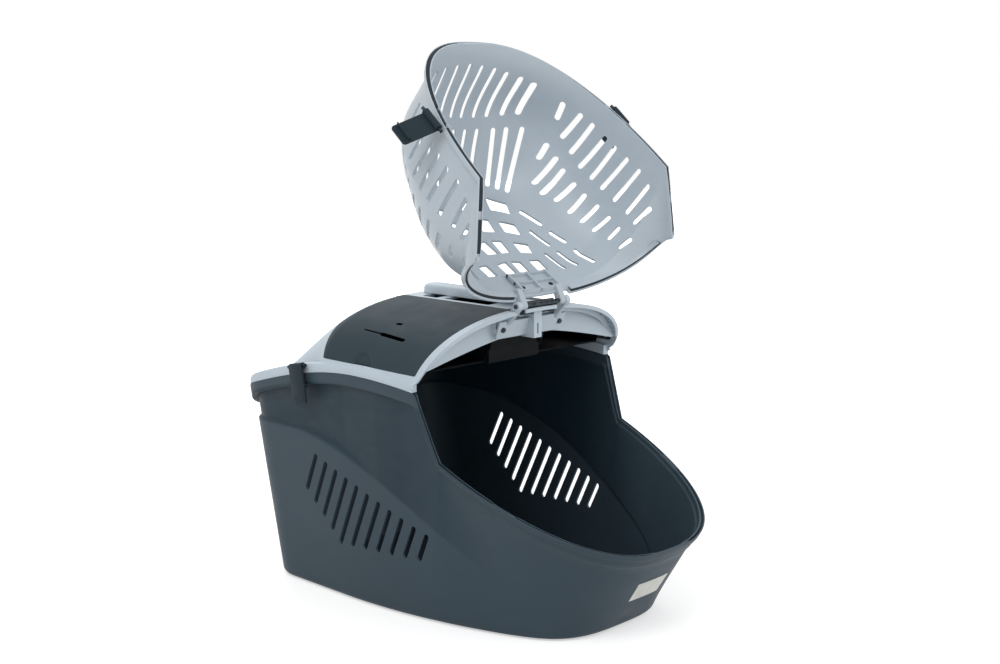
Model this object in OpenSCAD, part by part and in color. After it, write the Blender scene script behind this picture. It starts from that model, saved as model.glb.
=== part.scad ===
// Small-pet carrier, standing open: a deep tub with a low raked front, a domed rear cover with two
// storage bins under lift-up lids and a grip along its crest, and a slotted front lid that swings up
// and back on a pin at the crest. X points forwards, Y across and Z up; the origin is at the middle
// of the footprint on the floor. Two clips hold the cover to the tub and two hold the front lid down.

/* [Overall] */
// Length over the tub's rim, front to back
length = 548; // [500:4:600]
// Width over the tub's rim, under the cover
width = 332; // [300:4:360]
// Height of the tub's rim at the arch feet
foot_z = 265; // [240:5:290]
// Height of the cover's crest
crest_z = 346; // [330:2:360]
// Thickness of every moulded wall
wall = 2.5; // [2:0.25:3.5]

/* [Tub] */
// Length of the low front rim, from the knee to the front
nose_len = 199; // [170:1:230]
// How far the rim at the knee stands in from the cover's side
knee_inset = 9.7; // [4:0.1:16]
// Height of the rim at the knee
knee_z = 190.8; // [170:1:210]
// Height of the rim at the front
front_z = 105.2; // [85:1:130]
// Run of the steep rim from the knee back to the arch foot
foot_run = 28; // [15:1:45]
// Height of the rim at its highest point, half-way along the cover
arch_rim_z = 271.5; // [266:0.5:280]
// Height of the rim at the rear wall
rear_z = 227.5; // [200:1:250]
// Radius of the rear corners of the rim
rear_corner = 52; // [30:1:70]
// How far the rim's lip stands out from the wall
lip_out = 4; // [2:0.5:7]
// Height of the lip along the front rim
lip_h = 7; // [5:0.5:12]
// Height of the lip, or band, under the cover
band_h = 13; // [9:0.5:18]
// How far the floor's sides stand in from the cover's sides
base_inset = 25; // [16:1:36]
// Distance of the floor's front edge back from the front rim
front_rake = 85; // [60:1:100]
// Distance of the floor's rear edge in from the rear rim
rear_rake = 46; // [30:1:60]
// Radius of the edge where the walls meet the floor
base_round = 8; // [5:0.5:12]
// Depth of the recess above the side crease
recess = 4; // [2:0.5:6]
// Height of the feet under the floor
foot_h = 3; // [2:0.5:5]

/* [Vents] */
// Slots in each side of the tub
vent_count = 11; // [7:1:11]
// Width of a vent slot
vent_w = 6.6; // [4:0.2:8]
// Pitch of the vent slots along the tub
vent_pitch = 17.6; // [14:0.2:19]
// Lean of the vent slots, in degrees from upright
vent_lean = 24.3; // [10:0.5:30]

/* [Cover] */
// Height of the cover's flange on the tub's band
flange_h = 12; // [8:0.5:16]
// Roundness of the arch: 2 is an ellipse, more is squarer
arch_power = 2.3; // [2:0.05:2.8]
// How far the cover's sides draw in towards its rear, above a shelf along the flange
rear_draw = 58; // [20:1:62]
// Roundness of the cover's section at its rear
rear_power = 1.6; // [1.5:0.05:2.3]
// How far the top of the arch reaches in front of its feet
arch_reach = 36; // [20:1:48]
// Depth of the ribbed channel round the arch
channel_d = 13; // [9:0.5:16]
// Depth of the bulkhead under the arch
bulkhead_d = 36; // [30:1:44]
// Clearance between pieces that seat on each other
seat_gap = 0.3; // [0.2:0.05:0.5]

/* [Storage bins] */
// Half the width of the spine between the two bins
spine_half_w = 36; // [32:1:42]
// Gap round a bin lid
bin_gap = 0.6; // [0.4:0.1:1.2]

/* [Grip] */
// Length of the grip
grip_len = 154; // [120:2:170]
// Width of the grip
grip_w = 30; // [24:1:34]
// Height of the grip's top above the crest
grip_rise = 11; // [8:0.5:16]

/* [Front lid] */
// Angle that the lid has swung back from closed
lid_open = 162.4; // [150:0.2:170]
// Height of the hinge pin
hinge_z = 350; // [344:0.5:356]
// Radius of the hinge pin
pin_r = 2.5; // [2:0.25:3]
// Running clearance between a pin and its bore, on the radius
run_gap = 0.06; // [0.04:0.01:0.09]
// How far the lid's face bulges in front of the rim
lid_bulge = 12; // [4:1:18]
// How far the lid's sides, at their fullest, stand in from the cover's sides
lid_inset = 17; // [11:1:24]
// Squareness of the lid's plan at its fullest: 2 is round
lid_plan_power = 3; // [2.2:0.1:4]
// Run of the lid's crest from the hinge to its front shoulder
crest_run = 139; // [100:1:150]
// Fall of the lid's crest for each millimetre of run
lid_fall = 0.3; // [0.1:0.01:0.35]
// Width of the lid's slots
slot_w = 7.4; // [5:0.2:9]
// Pitch of the slots across the lid's face
slot_pitch = 19; // [16:0.5:22]

/* [Clips] */
// Width of a front clip
clip_w = 27; // [20:1:32]
// Length of a front clip, from its pin to its tip
clip_len = 53; // [45:1:60]
// Thickness of the clips
clip_t = 2.8; // [2:0.2:4]
// Radius of the clip pins
clip_pin_r = 2; // [1.5:0.25:2.5]
// Angle that the near front clip is swung out from closed
near_clip_open = 118; // [0:1:150]
// Angle that the far front clip is folded back from closed
far_clip_open = 168; // [0:1:172]
// Width of a cover clip
hasp_w = 24; // [18:1:30]
// Height of a cover clip, from its pin to its tip
hasp_len = 46; // [36:1:52]

/* [Hidden] */

tub_grey = [0.24, 0.29, 0.32];
pale_grey = [0.70, 0.75, 0.79];
lid_grey = [0.58, 0.63, 0.67];
clip_grey = [0.16, 0.19, 0.21];
steel = [0.72, 0.72, 0.70];

half_w = width / 2;
knee_half_w = half_w - knee_inset;
base_half_w = half_w - base_inset;
lid_half_w = half_w - lid_inset;
lid_reach = nose_len + lid_bulge;
front_x = length / 2;
knee_x = front_x - nose_len;
foot_x = knee_x - foot_run;
rear_x = -length / 2;
arch_x = knee_x - 128;             // where the rim under the cover is highest
top_x = foot_x + arch_reach;       // front of the arch at the crest, over which the hinge sits
hinge_x = top_x;
corner_x = rear_x + rear_corner;   // start of the rear corner along the side
$fn = 48;

// ---- outlines -------------------------------------------------------------------------------
// A power that keeps the sign, for superellipses
function spow(v, p) = sign(v) * pow(abs(v), p);
function mix(a, b, t) = a + (b - a) * t;
function clamp01(t) = max(0, min(1, t));

// Steps round the front arc, along the side, round the rear corner and across the rear
nose_steps = 10;
side_steps = 5;
corner_steps = 4;

// Each station runs from the front centre (0) round one side to the rear centre
function nose_angles() = [for (i = [0:nose_steps]) 90 * i / nose_steps];
function side_t() = [for (i = [1:side_steps]) i / side_steps];
function corner_angles() = [for (i = [1:corner_steps]) 90 * i / corner_steps];

// Rim height over the length: front slope, steep foot, then the arch under the cover
function rim_z(x) =
    x >= knee_x ? knee_z - (knee_z - front_z) * (x - knee_x) / nose_len
    : x >= foot_x ? mix(knee_z, foot_z, (knee_x - x) / foot_run)
    : x >= arch_x ? arch_rim_z - (arch_rim_z - foot_z) * pow((x - arch_x) / (foot_x - arch_x), 2)
    : let (s = (arch_x - x) / (arch_x - rear_x))
        arch_rim_z - (arch_rim_z - rear_z) * s * s * (1.5 - 0.5 * s);

// Half outline of the rim's lip, as [x, y]
function rim_half() = concat(
    [for (a = nose_angles()) [
        knee_x + nose_len * spow(cos(a), 2 / 2.05), knee_half_w * spow(sin(a), 2 / 2.575)]],
    [[mix(knee_x, foot_x, 0.5), mix(knee_half_w, half_w - 1, 0.5)], [foot_x, half_w - 1]],
    [for (t = side_t()) [mix(foot_x, corner_x, t), half_w]],
    [for (a = corner_angles()) [
        corner_x - rear_corner * spow(sin(a), 2 / 2.3),
        half_w - rear_corner + rear_corner * spow(cos(a), 2 / 2.3)]],
    [[rear_x, (half_w - rear_corner) / 2], [rear_x, 0]]);

// Half outline of the floor, station by station under the rim
base_front_x = front_x - front_rake;
base_rear_x = rear_x + rear_rake;
base_knee_x = knee_x - 34;
base_corner = 42;
function base_y(x) = base_half_w - 0.0008 * pow(max(0, x - (knee_x - 180)), 2);
function base_half() = concat(
    [for (a = nose_angles()) let (x = mix(base_knee_x, base_front_x, spow(cos(a), 0.25)))
        [x, base_y(x) * spow(sin(a), 0.8)]],
    [for (x = [base_knee_x - 9, base_knee_x - 18]) [x, base_y(x)]],
    [for (t = side_t()) let (x = mix(base_knee_x - 18, base_rear_x + base_corner, t)) [x, base_y(x)]],
    [for (a = corner_angles()) [
        base_rear_x + base_corner * (1 - spow(sin(a), 0.87)),
        base_half_w - base_corner * (1 - spow(cos(a), 0.87))]],
    [[base_rear_x, (base_half_w - base_corner) / 2], [base_rear_x, 0]]);

// A whole ring from a half outline: the +Y side front to back, then the -Y side back to front
function whole(half) = concat(half, [for (i = [len(half) - 2:-1:1]) [half[i][0], -half[i][1]]]);
function ring_normal(r, i) =
    let (n = len(r), d = r[(i + 1) % n] - r[(i + n - 1) % n], l = norm(d)) [d[1], -d[0]] / l;
function ring_offset(r, d) = [for (i = [0:len(r) - 1]) r[i] - d * ring_normal(r, i)];

rim = whole(rim_half());
rim_wall = ring_offset(rim, lip_out);
base = whole(base_half());
ring_n = len(rim);
rim_zs = [for (p = rim) rim_z(p[0])];

// The radius that a hole of n flat sides needs to clear a pin of radius r
function hole_r(r, n) = (r + 0.02) / cos(180 / n);

// ---- lofting --------------------------------------------------------------------------------
function centre(r) = [for (k = [0:2]) [for (p = r) p[k]] * [for (p = r) 1] / len(r)];

// Skins closed rings, all with the same number of points, and closes both ends
module loft(rings) {
    n = len(rings[0]);
    m = len(rings);
    points = concat([for (r = rings) each r], [centre(rings[0]), centre(rings[m - 1])]);
    sides = [for (j = [0:m - 2]) for (i = [0:n - 1]) let (k = (i + 1) % n)
        each [[j * n + i, (j + 1) * n + k, j * n + k], [j * n + i, (j + 1) * n + i, (j + 1) * n + k]]];
    start = [for (i = [0:n - 1]) [m * n, i, (i + 1) % n]];
    end = [for (i = [0:n - 1]) [m * n + 1, (m - 1) * n + (i + 1) % n, (m - 1) * n + i]];
    polyhedron(points = points, faces = concat(sides, start, end), convexity = 8);
}

// ---- tub ------------------------------------------------------------------------------------
// A point of the tub's wall at station i and height z, moved out by d
function wall_point(i, z, d) =
    let (t = z / rim_zs[i], p = mix(base[i], rim_wall[i], t), q = p + d * ring_normal(rim, i))
    [q[0], q[1], z];

// Height of the crease along the side: level at the rear, then an S down to the front corner
crease_rear_z = 192;
function crease_z(x) =
    let (t = clamp01((x - (knee_x - 235)) / 300), s = t * t * (3 - 2 * t))
    mix(crease_rear_z, 24, 0.55 * t + 0.45 * s);
crease_zs = [for (i = [0:ring_n - 1])
    min(crease_z(mix(base[i][0], rim_wall[i][0], 0.6)), rim_zs[i] - 32)];
// The recess is full at the rear and fades out outside, ahead of the vents
function recess_out(x) = recess * clamp01((knee_x - 95 - x) / 60);
function recess_in(x) = mix(1.6, recess, clamp01((knee_x - 95 - x) / 60));

// The lip is a band under the cover and narrower round the front, with a skirt below it there
function on_nose(x) = clamp01((x - foot_x) / foot_run);
function lip_height(x) = mix(band_h, lip_h, on_nose(x));
skirt_h = 9;
function skirt_out(x) = 2 * clamp01((x - knee_x - 0.35 * nose_len) / 20);

module tub_shell() {
    xs = [for (p = rim) p[0]];
    function out_ring(f_z, f_d) = [for (i = [0:ring_n - 1]) wall_point(i, f_z[i], f_d[i])];
    all_d = function (d) [for (i = [0:ring_n - 1]) d];
    r_out = [for (x = xs) -recess_out(x)];
    r_in = [for (x = xs) -recess_in(x) - wall];
    skirt = [for (x = xs) skirt_out(x) - recess_out(x)];
    lip_z = [for (i = [0:ring_n - 1]) rim_zs[i] - lip_height(xs[i])];
    loft([
        out_ring(all_d(foot_h), all_d(-base_round)),
        out_ring(all_d(foot_h + 0.3 * base_round), all_d(-0.3 * base_round)),
        out_ring(all_d(foot_h + base_round), all_d(0)),
        out_ring(crease_zs, all_d(0)),
        out_ring([for (z = crease_zs) z + 3], r_out),
        out_ring([for (z = lip_z) z - skirt_h - 2], r_out),
        out_ring([for (z = lip_z) z - skirt_h], skirt),
        out_ring([for (z = lip_z) z - 0.01], skirt),
        out_ring(lip_z, all_d(lip_out)),
        out_ring([for (z = rim_zs) z - 0.8], all_d(lip_out)),
        out_ring(rim_zs, all_d(lip_out - 0.8)),
        out_ring(rim_zs, all_d(-wall)),
        out_ring([for (i = [0:ring_n - 1]) max(crease_zs[i] + 3, rim_zs[i] - 26)], r_in),
        out_ring([for (z = crease_zs) z + 3], r_in),
        out_ring(crease_zs, all_d(-wall)),
        out_ring(all_d(foot_h + wall + base_round), all_d(-wall)),
        out_ring(all_d(foot_h + wall), all_d(-wall - base_round))
    ]);
}

// A slot through a wall, from one [x, z] to another, along Y; its ends have few sides
slot_sides = 4;
module slot_across(a, b, w, y0, y1) {
    hull() for (p = [a, b])
        translate([p[0], y0, p[1]]) rotate([-90, 0, 0]) cylinder(d = w, h = y1 - y0, $fn = slot_sides);
}

module tub_vents() {
    first = [knee_x - 204.7, 163.8];
    for (k = [0:vent_count - 1]) {
        top = first + k * [vent_pitch, -6.2];
        low = k < 4 ? 123 - 13.6 * k : 68.6 + (k - 4);
        slot_across(top, [top[0] - tan(vent_lean) * (top[1] - low), low], vent_w, -half_w, half_w);
    }
}

module tub() {
    color(tub_grey) {
        difference() {
            tub_shell();
            tub_vents();
        }
        tub_feet();
        tub_keepers();
    }
}

// Four shallow feet under the floor
module tub_feet() {
    for (x = [base_rear_x + 40, base_front_x - 40], s = [-1, 1])
        translate([x, s * (base_y(x) - 34), 0]) hull() for (d = [-12, 12])
            translate([d, 0, 0]) cylinder(r1 = 6, r2 = 7, h = foot_h + 0.8, $fn = 16);
}

// The small ledges that the front clips hook under
module tub_keepers() {
    for (s = [-1, 1]) front_clip_place(s) rotate([-s * clip_tuck, 0, 0]) mirror([0, s < 0 ? 1 : 0, 0])
        translate([-keeper_w / 2, 0, -hook_at + keeper_gap]) hull() {
            translate([0, clip_barrel_r - clip_t - 1, 0]) cube([keeper_w, 0.4, 1.6]);
            translate([0, -keeper_root, 0]) cube([keeper_w, 1, 7]);
        }
}

// ---- cover ----------------------------------------------------------------------------------
dome_back_x = knee_x - 180;        // the crest runs level in front of this and falls behind it
arch_steps = 10;
arch_lift = 0.62;                  // how quickly the arch leans forward above its feet

function side_y(x) = x >= corner_x ? half_w
    : half_w - rear_corner
        + rear_corner * pow(max(0, 1 - pow((corner_x - x) / rear_corner, 2.3)), 1 / 2.3);
function cover_base_z(x) = rim_z(x) + seat_gap + 5;
function rear_share(x) = clamp01((dome_back_x - x) / (dome_back_x - rear_x));
function crest_at(x) = mix(rear_z + flange_h, crest_z, pow(1 - pow(rear_share(x), 1.43), 1.08));
function dome_inset(x) = 0.6 + 3.4 * clamp01((foot_x - 20 - x) / 60);

// Height of the arch over its feet, as a share, at a distance y from the centre plane
function arch_share(y) = pow(max(0, 1 - pow(min(1, abs(y) / half_w), arch_power)), 1 / arch_power);
function arch_front_x(y) = foot_x + arch_reach * pow(arch_share(y), arch_lift);

// One cross-section of the dome at x, moved in by d, reaching low below its seat: an arch that stands on
// a shelf, which widens towards the rear and is as thick as the skin
function dome_section(x, d, low, steps = arch_steps) =
    let (
        w = side_y(x) - dome_inset(x) - d,
        draw = rear_draw * rear_share(x),
        zb = cover_base_z(x) - (low > 0 ? d * clamp01(draw / 10) : 0),
        zc = crest_at(x) - d,
        p = 2 / mix(arch_power, rear_power, rear_share(x)))
    concat([[x, w, zb - 1 - low], [x, w, zb - 0.3]],
        [for (k = [0:steps]) let (a = 180 * k / steps)
            [x, (w - draw) * spow(cos(a), p), zb + (zc - zb) * spow(sin(a), p)]],
        [[x, -w, zb - 0.3], [x, -w, zb - 1 - low]]);

// The last section follows the arch's leaning front edge
function dome_front(d, low, shift, steps) =
    let (s = dome_section(foot_x, d, low, steps), zb = s[2][2], zc = crest_z - d)
    [for (p = s) [
        foot_x + shift + arch_reach * pow(clamp01((p[2] - zb) / (zc - zb)), arch_lift), p[1], p[2]]];

// The solid under the dome's surface, moved in by d all round and by -shift at the front edge
module dome(d = 0, low = 0, shift = 0, steps = arch_steps) {
    back = rear_x + 1 + d;
    xs = concat([for (t = [0, 0.08, 0.25, 0.5, 0.8]) back + t * rear_corner],
        [for (t = [0.25, 0.5, 0.75, 0.92]) mix(corner_x, dome_back_x, t)],
        [dome_back_x, mix(dome_back_x, foot_x, 0.5), foot_x - 22]);
    loft(concat([for (x = xs) dome_section(x, d, low, steps)], [dome_front(d, low, shift, steps)]));
}

// The band that seats on the tub's rim, from the arch feet round the rear
module cover_flange() {
    outer = ring_offset(rim, 0.4);
    inner = ring_offset(rim, lip_out + wall);
    first = nose_steps + 2;
    low = seat_gap;
    high = seat_gap + flange_h - 1;
    loft([for (i = [first:ring_n - first]) [
        [outer[i][0], outer[i][1], rim_zs[i] + low], [inner[i][0], inner[i][1], rim_zs[i] + low],
        [inner[i][0], inner[i][1], rim_zs[i] + high], [outer[i][0], outer[i][1], rim_zs[i] + high]]]);
}

// Plan of one bin's opening on the +Y side, grown by g: rear edge, front edge and spine edge
bin_rear_x = knee_x - 182;
bin_front_band = 11;
bin_low_z = 284;
plan_steps = 6;
module bin_plan(g = 0, out = 6) {
    ys = [for (k = [0:plan_steps]) mix(spine_half_w - g, half_w + out, k / plan_steps)];
    function rear_edge(y) = bin_rear_x - g
        - 25 * sin(150 * clamp01((half_w - y) / (half_w - spine_half_w)));
    polygon(concat(
        [for (y = ys) [rear_edge(y), y]],
        [for (k = [plan_steps:-1:0])
            [arch_front_x(min(ys[k], half_w - 3)) - bin_front_band + g, ys[k]]]));
}
module bin_prism(g = 0) {
    translate([0, 0, bin_low_z - g]) linear_extrude(height = 80) bin_plan(g);
}
module both_sides() { for (s = [0, 1]) mirror([0, s, 0]) children(); }

// The channel round the arch: an inner wall, a back and cross ribs
module arch_channel() {
    difference() {
        dome(channel_d - wall, 0, -1.5);
        dome(channel_d, 5, 4);
        dome(0, 30, -channel_d - 1);
    }
    difference() {
        dome(wall + 0.3, 0, -channel_d);
        dome(-3, 30, -channel_d - wall);
        dome(bulkhead_d, 30, 10);
    }
    for (k = [1:13]) let (a = 180 * k / 14)
        if (abs(a - 90) > 12) arch_rib(a);
}

// One rib across the channel, between the skin and the inner wall
module arch_rib(a) {
    function at(d) = let (w = half_w - 0.6 - d, zb = foot_z + 2, zc = crest_z - d)
        [w * spow(cos(a), 2 / arch_power), zb + (zc - zb) * spow(sin(a), 2 / arch_power)];
    p = at(1);
    q = at(channel_d - 1);
    x = arch_front_x(p[0]);
    hull() for (c = [p, q])
        translate([x - bin_front_band + 2.4, c[0] - 0.8, c[1] - 0.8])
            cube([bin_front_band - 4.8, 1.6, 1.6]);
}

module cover_frame() {
    color(pale_grey) difference() {
        union() {
            difference() {
                dome();
                dome(wall, 8, 3);
                both_sides() bin_prism();
            }
            difference() {
                intersection() {
                    difference() {
                        dome(wall - 0.3);
                        dome(2 * wall, 8, 3);
                    }
                    both_sides() bin_prism(3);
                }
                both_sides() bin_prism(-4);
                translate([rear_x, -bin_pin_y - 5, 0]) cube([length, 2 * bin_pin_y + 10, 500]);
            }
            cover_flange();
            arch_channel();
            cover_bosses();
        }
        // Well under the grip, hinge notch and screw holes
        grip_well();
        for (x = grip_screw_xs) translate([x, 0, crest_z - 20]) cylinder(r = 1.4, h = 30, $fn = 8);
        translate([hinge_x - 20, -hinge_span / 2 - 1, crest_z - channel_d - 5])
            cube([38, hinge_span + 2, 40]);
        translate([hinge_x - 18, -block_screw_y - 9, block_screw_z - block_h])
            cube([40, 2 * block_screw_y + 18, 1.6 * block_h]);
        for (s = [-1, 1]) {
            in_block() translate([-20, s * block_screw_y, 0]) rotate([0, 90, 0])
                cylinder(r = 1.6, h = 40, $fn = 8);
            cover_clip_place(s) rotate([0, 90, 0])
                cylinder(r = hole_r(clip_pin_r, 6), h = hasp_w + 12, center = true, $fn = 6);
            translate([bin_pin_x0 - 2, s * bin_pin_y, bin_pin_z]) rotate([0, 90, 0])
                cylinder(r = hole_r(bin_pin_r, 6), h = bin_pin_len + 4, $fn = 6);
        }
    }
}

// Ears that carry the bin lids' pins and the cover clips' pins
module cover_bosses() {
    both_sides() {
        for (x = bin_ear_xs) hull() {
            translate([x, bin_pin_y, bin_pin_z]) rotate([0, 90, 0])
                cylinder(r = 3, h = bin_ear_t, $fn = 8);
            translate([x, spine_half_w - 3, bin_pin_z - 3]) cube([bin_ear_t, 2, 6]);
        }
        cover_clip_place(1) for (x = [-hasp_w / 2 - 4.4, hasp_w / 2 + 0.4]) translate([x, 0, 0]) hull() {
            rotate([0, 90, 0]) cylinder(r = clip_pin_r + 1.6, h = 4, $fn = 8);
            translate([0, -8, -4]) cube([4, 2, 8]);
        }
    }
}

// ---- storage bins ---------------------------------------------------------------------------
bin_pin_r = 1.5;
bin_barrel_r = 3.2;
bin_pin_y = spine_half_w + bin_barrel_r + 1;
bin_pin_z = crest_z - bin_barrel_r - 0.4;
bin_pin_x0 = bin_rear_x - 8;
bin_pin_len = 150;
bin_ear_t = 5;
bin_ear_xs = [bin_pin_x0 + 2, bin_pin_x0 + bin_pin_len / 2, bin_pin_x0 + bin_pin_len - bin_ear_t - 2];

tray_steps = 8;
module bin_tray() {
    floor_z = bin_low_z - 3;
    color(tub_grey) difference() {
        union() {
            both_sides() intersection() {
                translate([0, 0, floor_z]) linear_extrude(height = 80) bin_plan(-5);
                dome(2 * wall + 3, 0, -channel_d - wall - 6, tray_steps);
            }
            translate([grip_x - grip_len / 2, -spine_half_w - 5.5, floor_z])
                cube([grip_len - 10, 2 * spine_half_w + 11, bin_pin_z - 6 - floor_z]);
            in_block() for (s = [-1, 1]) translate([-17, s * block_screw_y, 0]) rotate([0, 90, 0])
                cylinder(r = 4, h = 10.2, $fn = 16);
        }
        in_block() for (s = [-1, 1]) translate([-18, s * block_screw_y, 0]) rotate([0, 90, 0])
            cylinder(r = 1.25, h = 20);
        both_sides() intersection() {
            translate([0, 0, floor_z + wall]) linear_extrude(height = 80) bin_plan(-5 - wall);
            union() {
                dome(3 * wall + 3, 0, 5, tray_steps);
                translate([rear_x, 0, floor_z + 9]) cube([length, width, 90]);
            }
        }
        translate([grip_x - grip_len / 2 + wall, -spine_half_w, floor_z + 14])
            cube([grip_len - 10 - 2 * wall, 2 * spine_half_w, 90]);
    }
}

module bin_lid() {
    color(tub_grey) difference() {
        union() {
            difference() {
                intersection() {
                    difference() {
                        dome(0);
                        dome(wall - 0.8, 8, 3);
                    }
                    bin_prism(-bin_gap);
                }
                translate([rear_x, 0, 0]) cube([length, bin_pin_y, 500]);
                for (x = bin_ear_xs) translate([x - 0.5, 0, 0]) cube([bin_ear_t + 1, bin_pin_y + 4, 500]);
                bin_lid_marks();
            }
            for (k = [0, 1]) let (x = bin_ear_xs[k] + bin_ear_t + 0.5, l = bin_ear_xs[k + 1] - x - 0.5)
                translate([x, bin_pin_y, bin_pin_z]) rotate([0, 90, 0]) cylinder(r = bin_barrel_r, h = l);
        }
        translate([bin_pin_x0 - 10, bin_pin_y, bin_pin_z]) rotate([0, 90, 0])
            cylinder(r = bin_pin_r + run_gap, h = bin_pin_len + 20);
    }
}
// The catch slot across the lid and the finger scallop at its lower edge
module bin_lid_marks() {
    for (m = [[[knee_x - 128, 142], [knee_x - 78, 118]], [[knee_x - 92, 128], [knee_x - 84, 124]]])
        hull() for (p = m) translate([p[0], p[1], bin_low_z]) cylinder(r = 1.3, h = 80, $fn = 6);
}
module bin_lid_left() { bin_lid(); }
module bin_lid_right() { mirror([0, 1, 0]) bin_lid(); }
module bin_lid_pin(s) {
    color(steel) translate([bin_pin_x0, s * bin_pin_y, bin_pin_z]) rotate([0, 90, 0])
        cylinder(r = bin_pin_r, h = bin_pin_len);
}
module bin_lid_pin_left() { bin_lid_pin(1); }
module bin_lid_pin_right() { bin_lid_pin(-1); }

// ---- grip -----------------------------------------------------------------------------------
grip_x = foot_x - 74;
grip_foot = 22;
grip_post_x = knee_x - 126;
well_half_w = spine_half_w - 6;
module grip_well() {
    x0 = grip_x - grip_len / 2 + grip_foot;
    x1 = grip_x + grip_len / 2 - grip_foot;
    for (x = [[x0, grip_post_x - 6], [grip_post_x + 6, x1]])
        translate([x[0], -well_half_w, crest_z - 20]) cube([x[1] - x[0], 2 * well_half_w, 40]);
}
module grip() {
    z0 = crest_z + seat_gap;
    r = grip_w / 2;
    color(pale_grey) difference() {
        hull() for (x = [grip_x - grip_len / 2 + r, grip_x + grip_len / 2 - r]) {
            translate([x, 0, z0]) cylinder(r = r, h = grip_rise - 4, $fn = 32);
            translate([x, 0, z0]) cylinder(r = r - 4, h = grip_rise, $fn = 32);
        }
        translate([grip_x - grip_len / 2 + grip_foot, -r - 1, z0 - 1])
            cube([grip_len - 2 * grip_foot, 5, 4]);
        for (x = grip_screw_xs) translate([x, 0, z0 - 1]) cylinder(r = 1.25, h = 8);
    }
}
grip_screw_xs = [grip_x - grip_len / 2 + grip_foot / 2 + 1, grip_x + grip_len / 2 - grip_foot / 2 - 1];
// A round-headed screw, its head's underside at the origin and its shank up +Z
module screw(shank, r = 1.2, head = 3) {
    cylinder(r = r, h = shank);
    translate([0, 0, -1.8]) cylinder(r = head, h = 1.8);
}
module grip_screws() {
    color(steel) for (x = grip_screw_xs) translate([x, 0, crest_z - wall - 0.3]) screw(8);
}

// ---- hinge ----------------------------------------------------------------------------------
knuckle_r = pin_r + 2.8;
knuckle_in = 22;                   // inner and outer faces of the lid's two knuckles
knuckle_out = 36;
ear_t = 6;                         // the block's ears stand outside the knuckles
side_play = 0.5;
hinge_span = 2 * (knuckle_out + side_play + ear_t);
block_lean = 18;
block_screw_y = 46.8;
block_screw_z = crest_z - 22.5;
block_h = 20;
function arch_x_at(z) =
    foot_x + arch_reach * pow(clamp01((z - foot_z - 2) / (crest_z - foot_z - 2)), arch_lift);
block_x = arch_x_at(block_screw_z) - channel_d + 1.6;

module in_block() {
    translate([block_x, 0, block_screw_z]) rotate([0, block_lean, 0]) children();
}
module hinge_block() {
    color(pale_grey) difference() {
        union() {
            in_block() translate([0, -block_screw_y - 8, -block_h / 2])
                cube([wall, 2 * block_screw_y + 16, block_h]);
            both_sides() hull() {
                translate([hinge_x, knuckle_out + side_play, hinge_z]) rotate([-90, 0, 0])
                    cylinder(r = knuckle_r, h = ear_t, $fn = 32);
                in_block() translate([0.4, knuckle_out + side_play, block_h / 2 - 6])
                    cube([wall - 0.8, ear_t, 5.4]);
            }
        }
        translate([hinge_x, -hinge_span, hinge_z]) rotate([-90, 0, 0])
            cylinder(r = pin_r + 0.01, h = 2 * hinge_span);
        in_block() for (s = [-1, 1]) translate([-5, s * block_screw_y, 0]) rotate([0, 90, 0])
            cylinder(r = 1.35, h = 20);
    }
}
module hinge_block_screws() {
    color(steel) in_block() for (s = [-1, 1]) translate([wall, s * block_screw_y, 0]) rotate([0, -90, 0])
        screw(10);
}
module hinge_pin() {
    color(steel) translate([hinge_x, -hinge_span / 2 - 1.5, hinge_z]) rotate([-90, 0, 0])
        cylinder(r = pin_r, h = hinge_span + 3);
}

// ---- front lid ------------------------------------------------------------------------------
lid_lip_h = 6;
lid_edge_gap = 1.4;
lid_full_at = 0.44;                // share of the height at which the plan is fullest
side_power = 3.5;                  // roundness of the section at the sides, front and corners
face_power = 4;
corner_power = 2.4;
lid_last = nose_steps + 2;         // station at the arch foot
lid_angles = [4, 15, 32, 50, 68, 84];

// What is modelled on the closed lid, turned to where the lid stands open
module lid_swing(angle = lid_open) {
    translate([hinge_x, 0, hinge_z]) rotate([0, -angle, 0]) translate([-hinge_x, 0, -hinge_z]) children();
}

// A point of the closed lid's surface, moved in by d: station i from -lid_last (right foot) round
// the front to lid_last, and meridian angle a from the rim (0) up to the crest (90)
function lid_point(i, a, d, low) =
    let (
        j = i >= 0 ? i : ring_n + i,
        turn = 90 * min(1, abs(i) / nose_steps),
        r = rim_wall[j] - d * ring_normal(rim, j),
        full_x = turn < 90 ? knee_x + (lid_reach - d) * pow(cos(turn), 2 / lid_plan_power) : rim[j][0],
        full_y = sign(i) * (lid_half_w - d) * pow(sin(turn), 2 / lid_plan_power),
        zr = rim_zs[j] + seat_gap - low,
        back = clamp01((knee_x + 30 - rim[j][0]) / (30 + foot_run)),
        run = crest_run * clamp01((rim[j][0] - foot_x) / (front_x - foot_x)),
        xc = top_x + lid_edge_gap + run,
        zc = crest_z - d - lid_fall * run,
        upright = mix(side_power, face_power, pow(cos(turn), 2)),
        corner = (corner_power - (side_power + face_power) / 2) * pow(sin(2 * turn), 2),
        n = mix(upright + corner, arch_power, back),
        c = spow(cos(a), 2 / n), h = spow(sin(a), 2 / n),
        t = clamp01(h / lid_full_at), full = t * t * (3 - 2 * t) * (1 - back),
        x_dome = mix(xc, mix(r[0], full_x, full), c),
        x_arch = r[0] + lid_edge_gap + (xc - lid_edge_gap - r[0]) * pow(h, arch_lift),
        edge = abs(i) == lid_last ? 2.2 * low : 0)
    [mix(x_dome, x_arch, back) - edge, mix(r[1], full_y, full) * c, zr + (zc - zr) * h];

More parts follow.
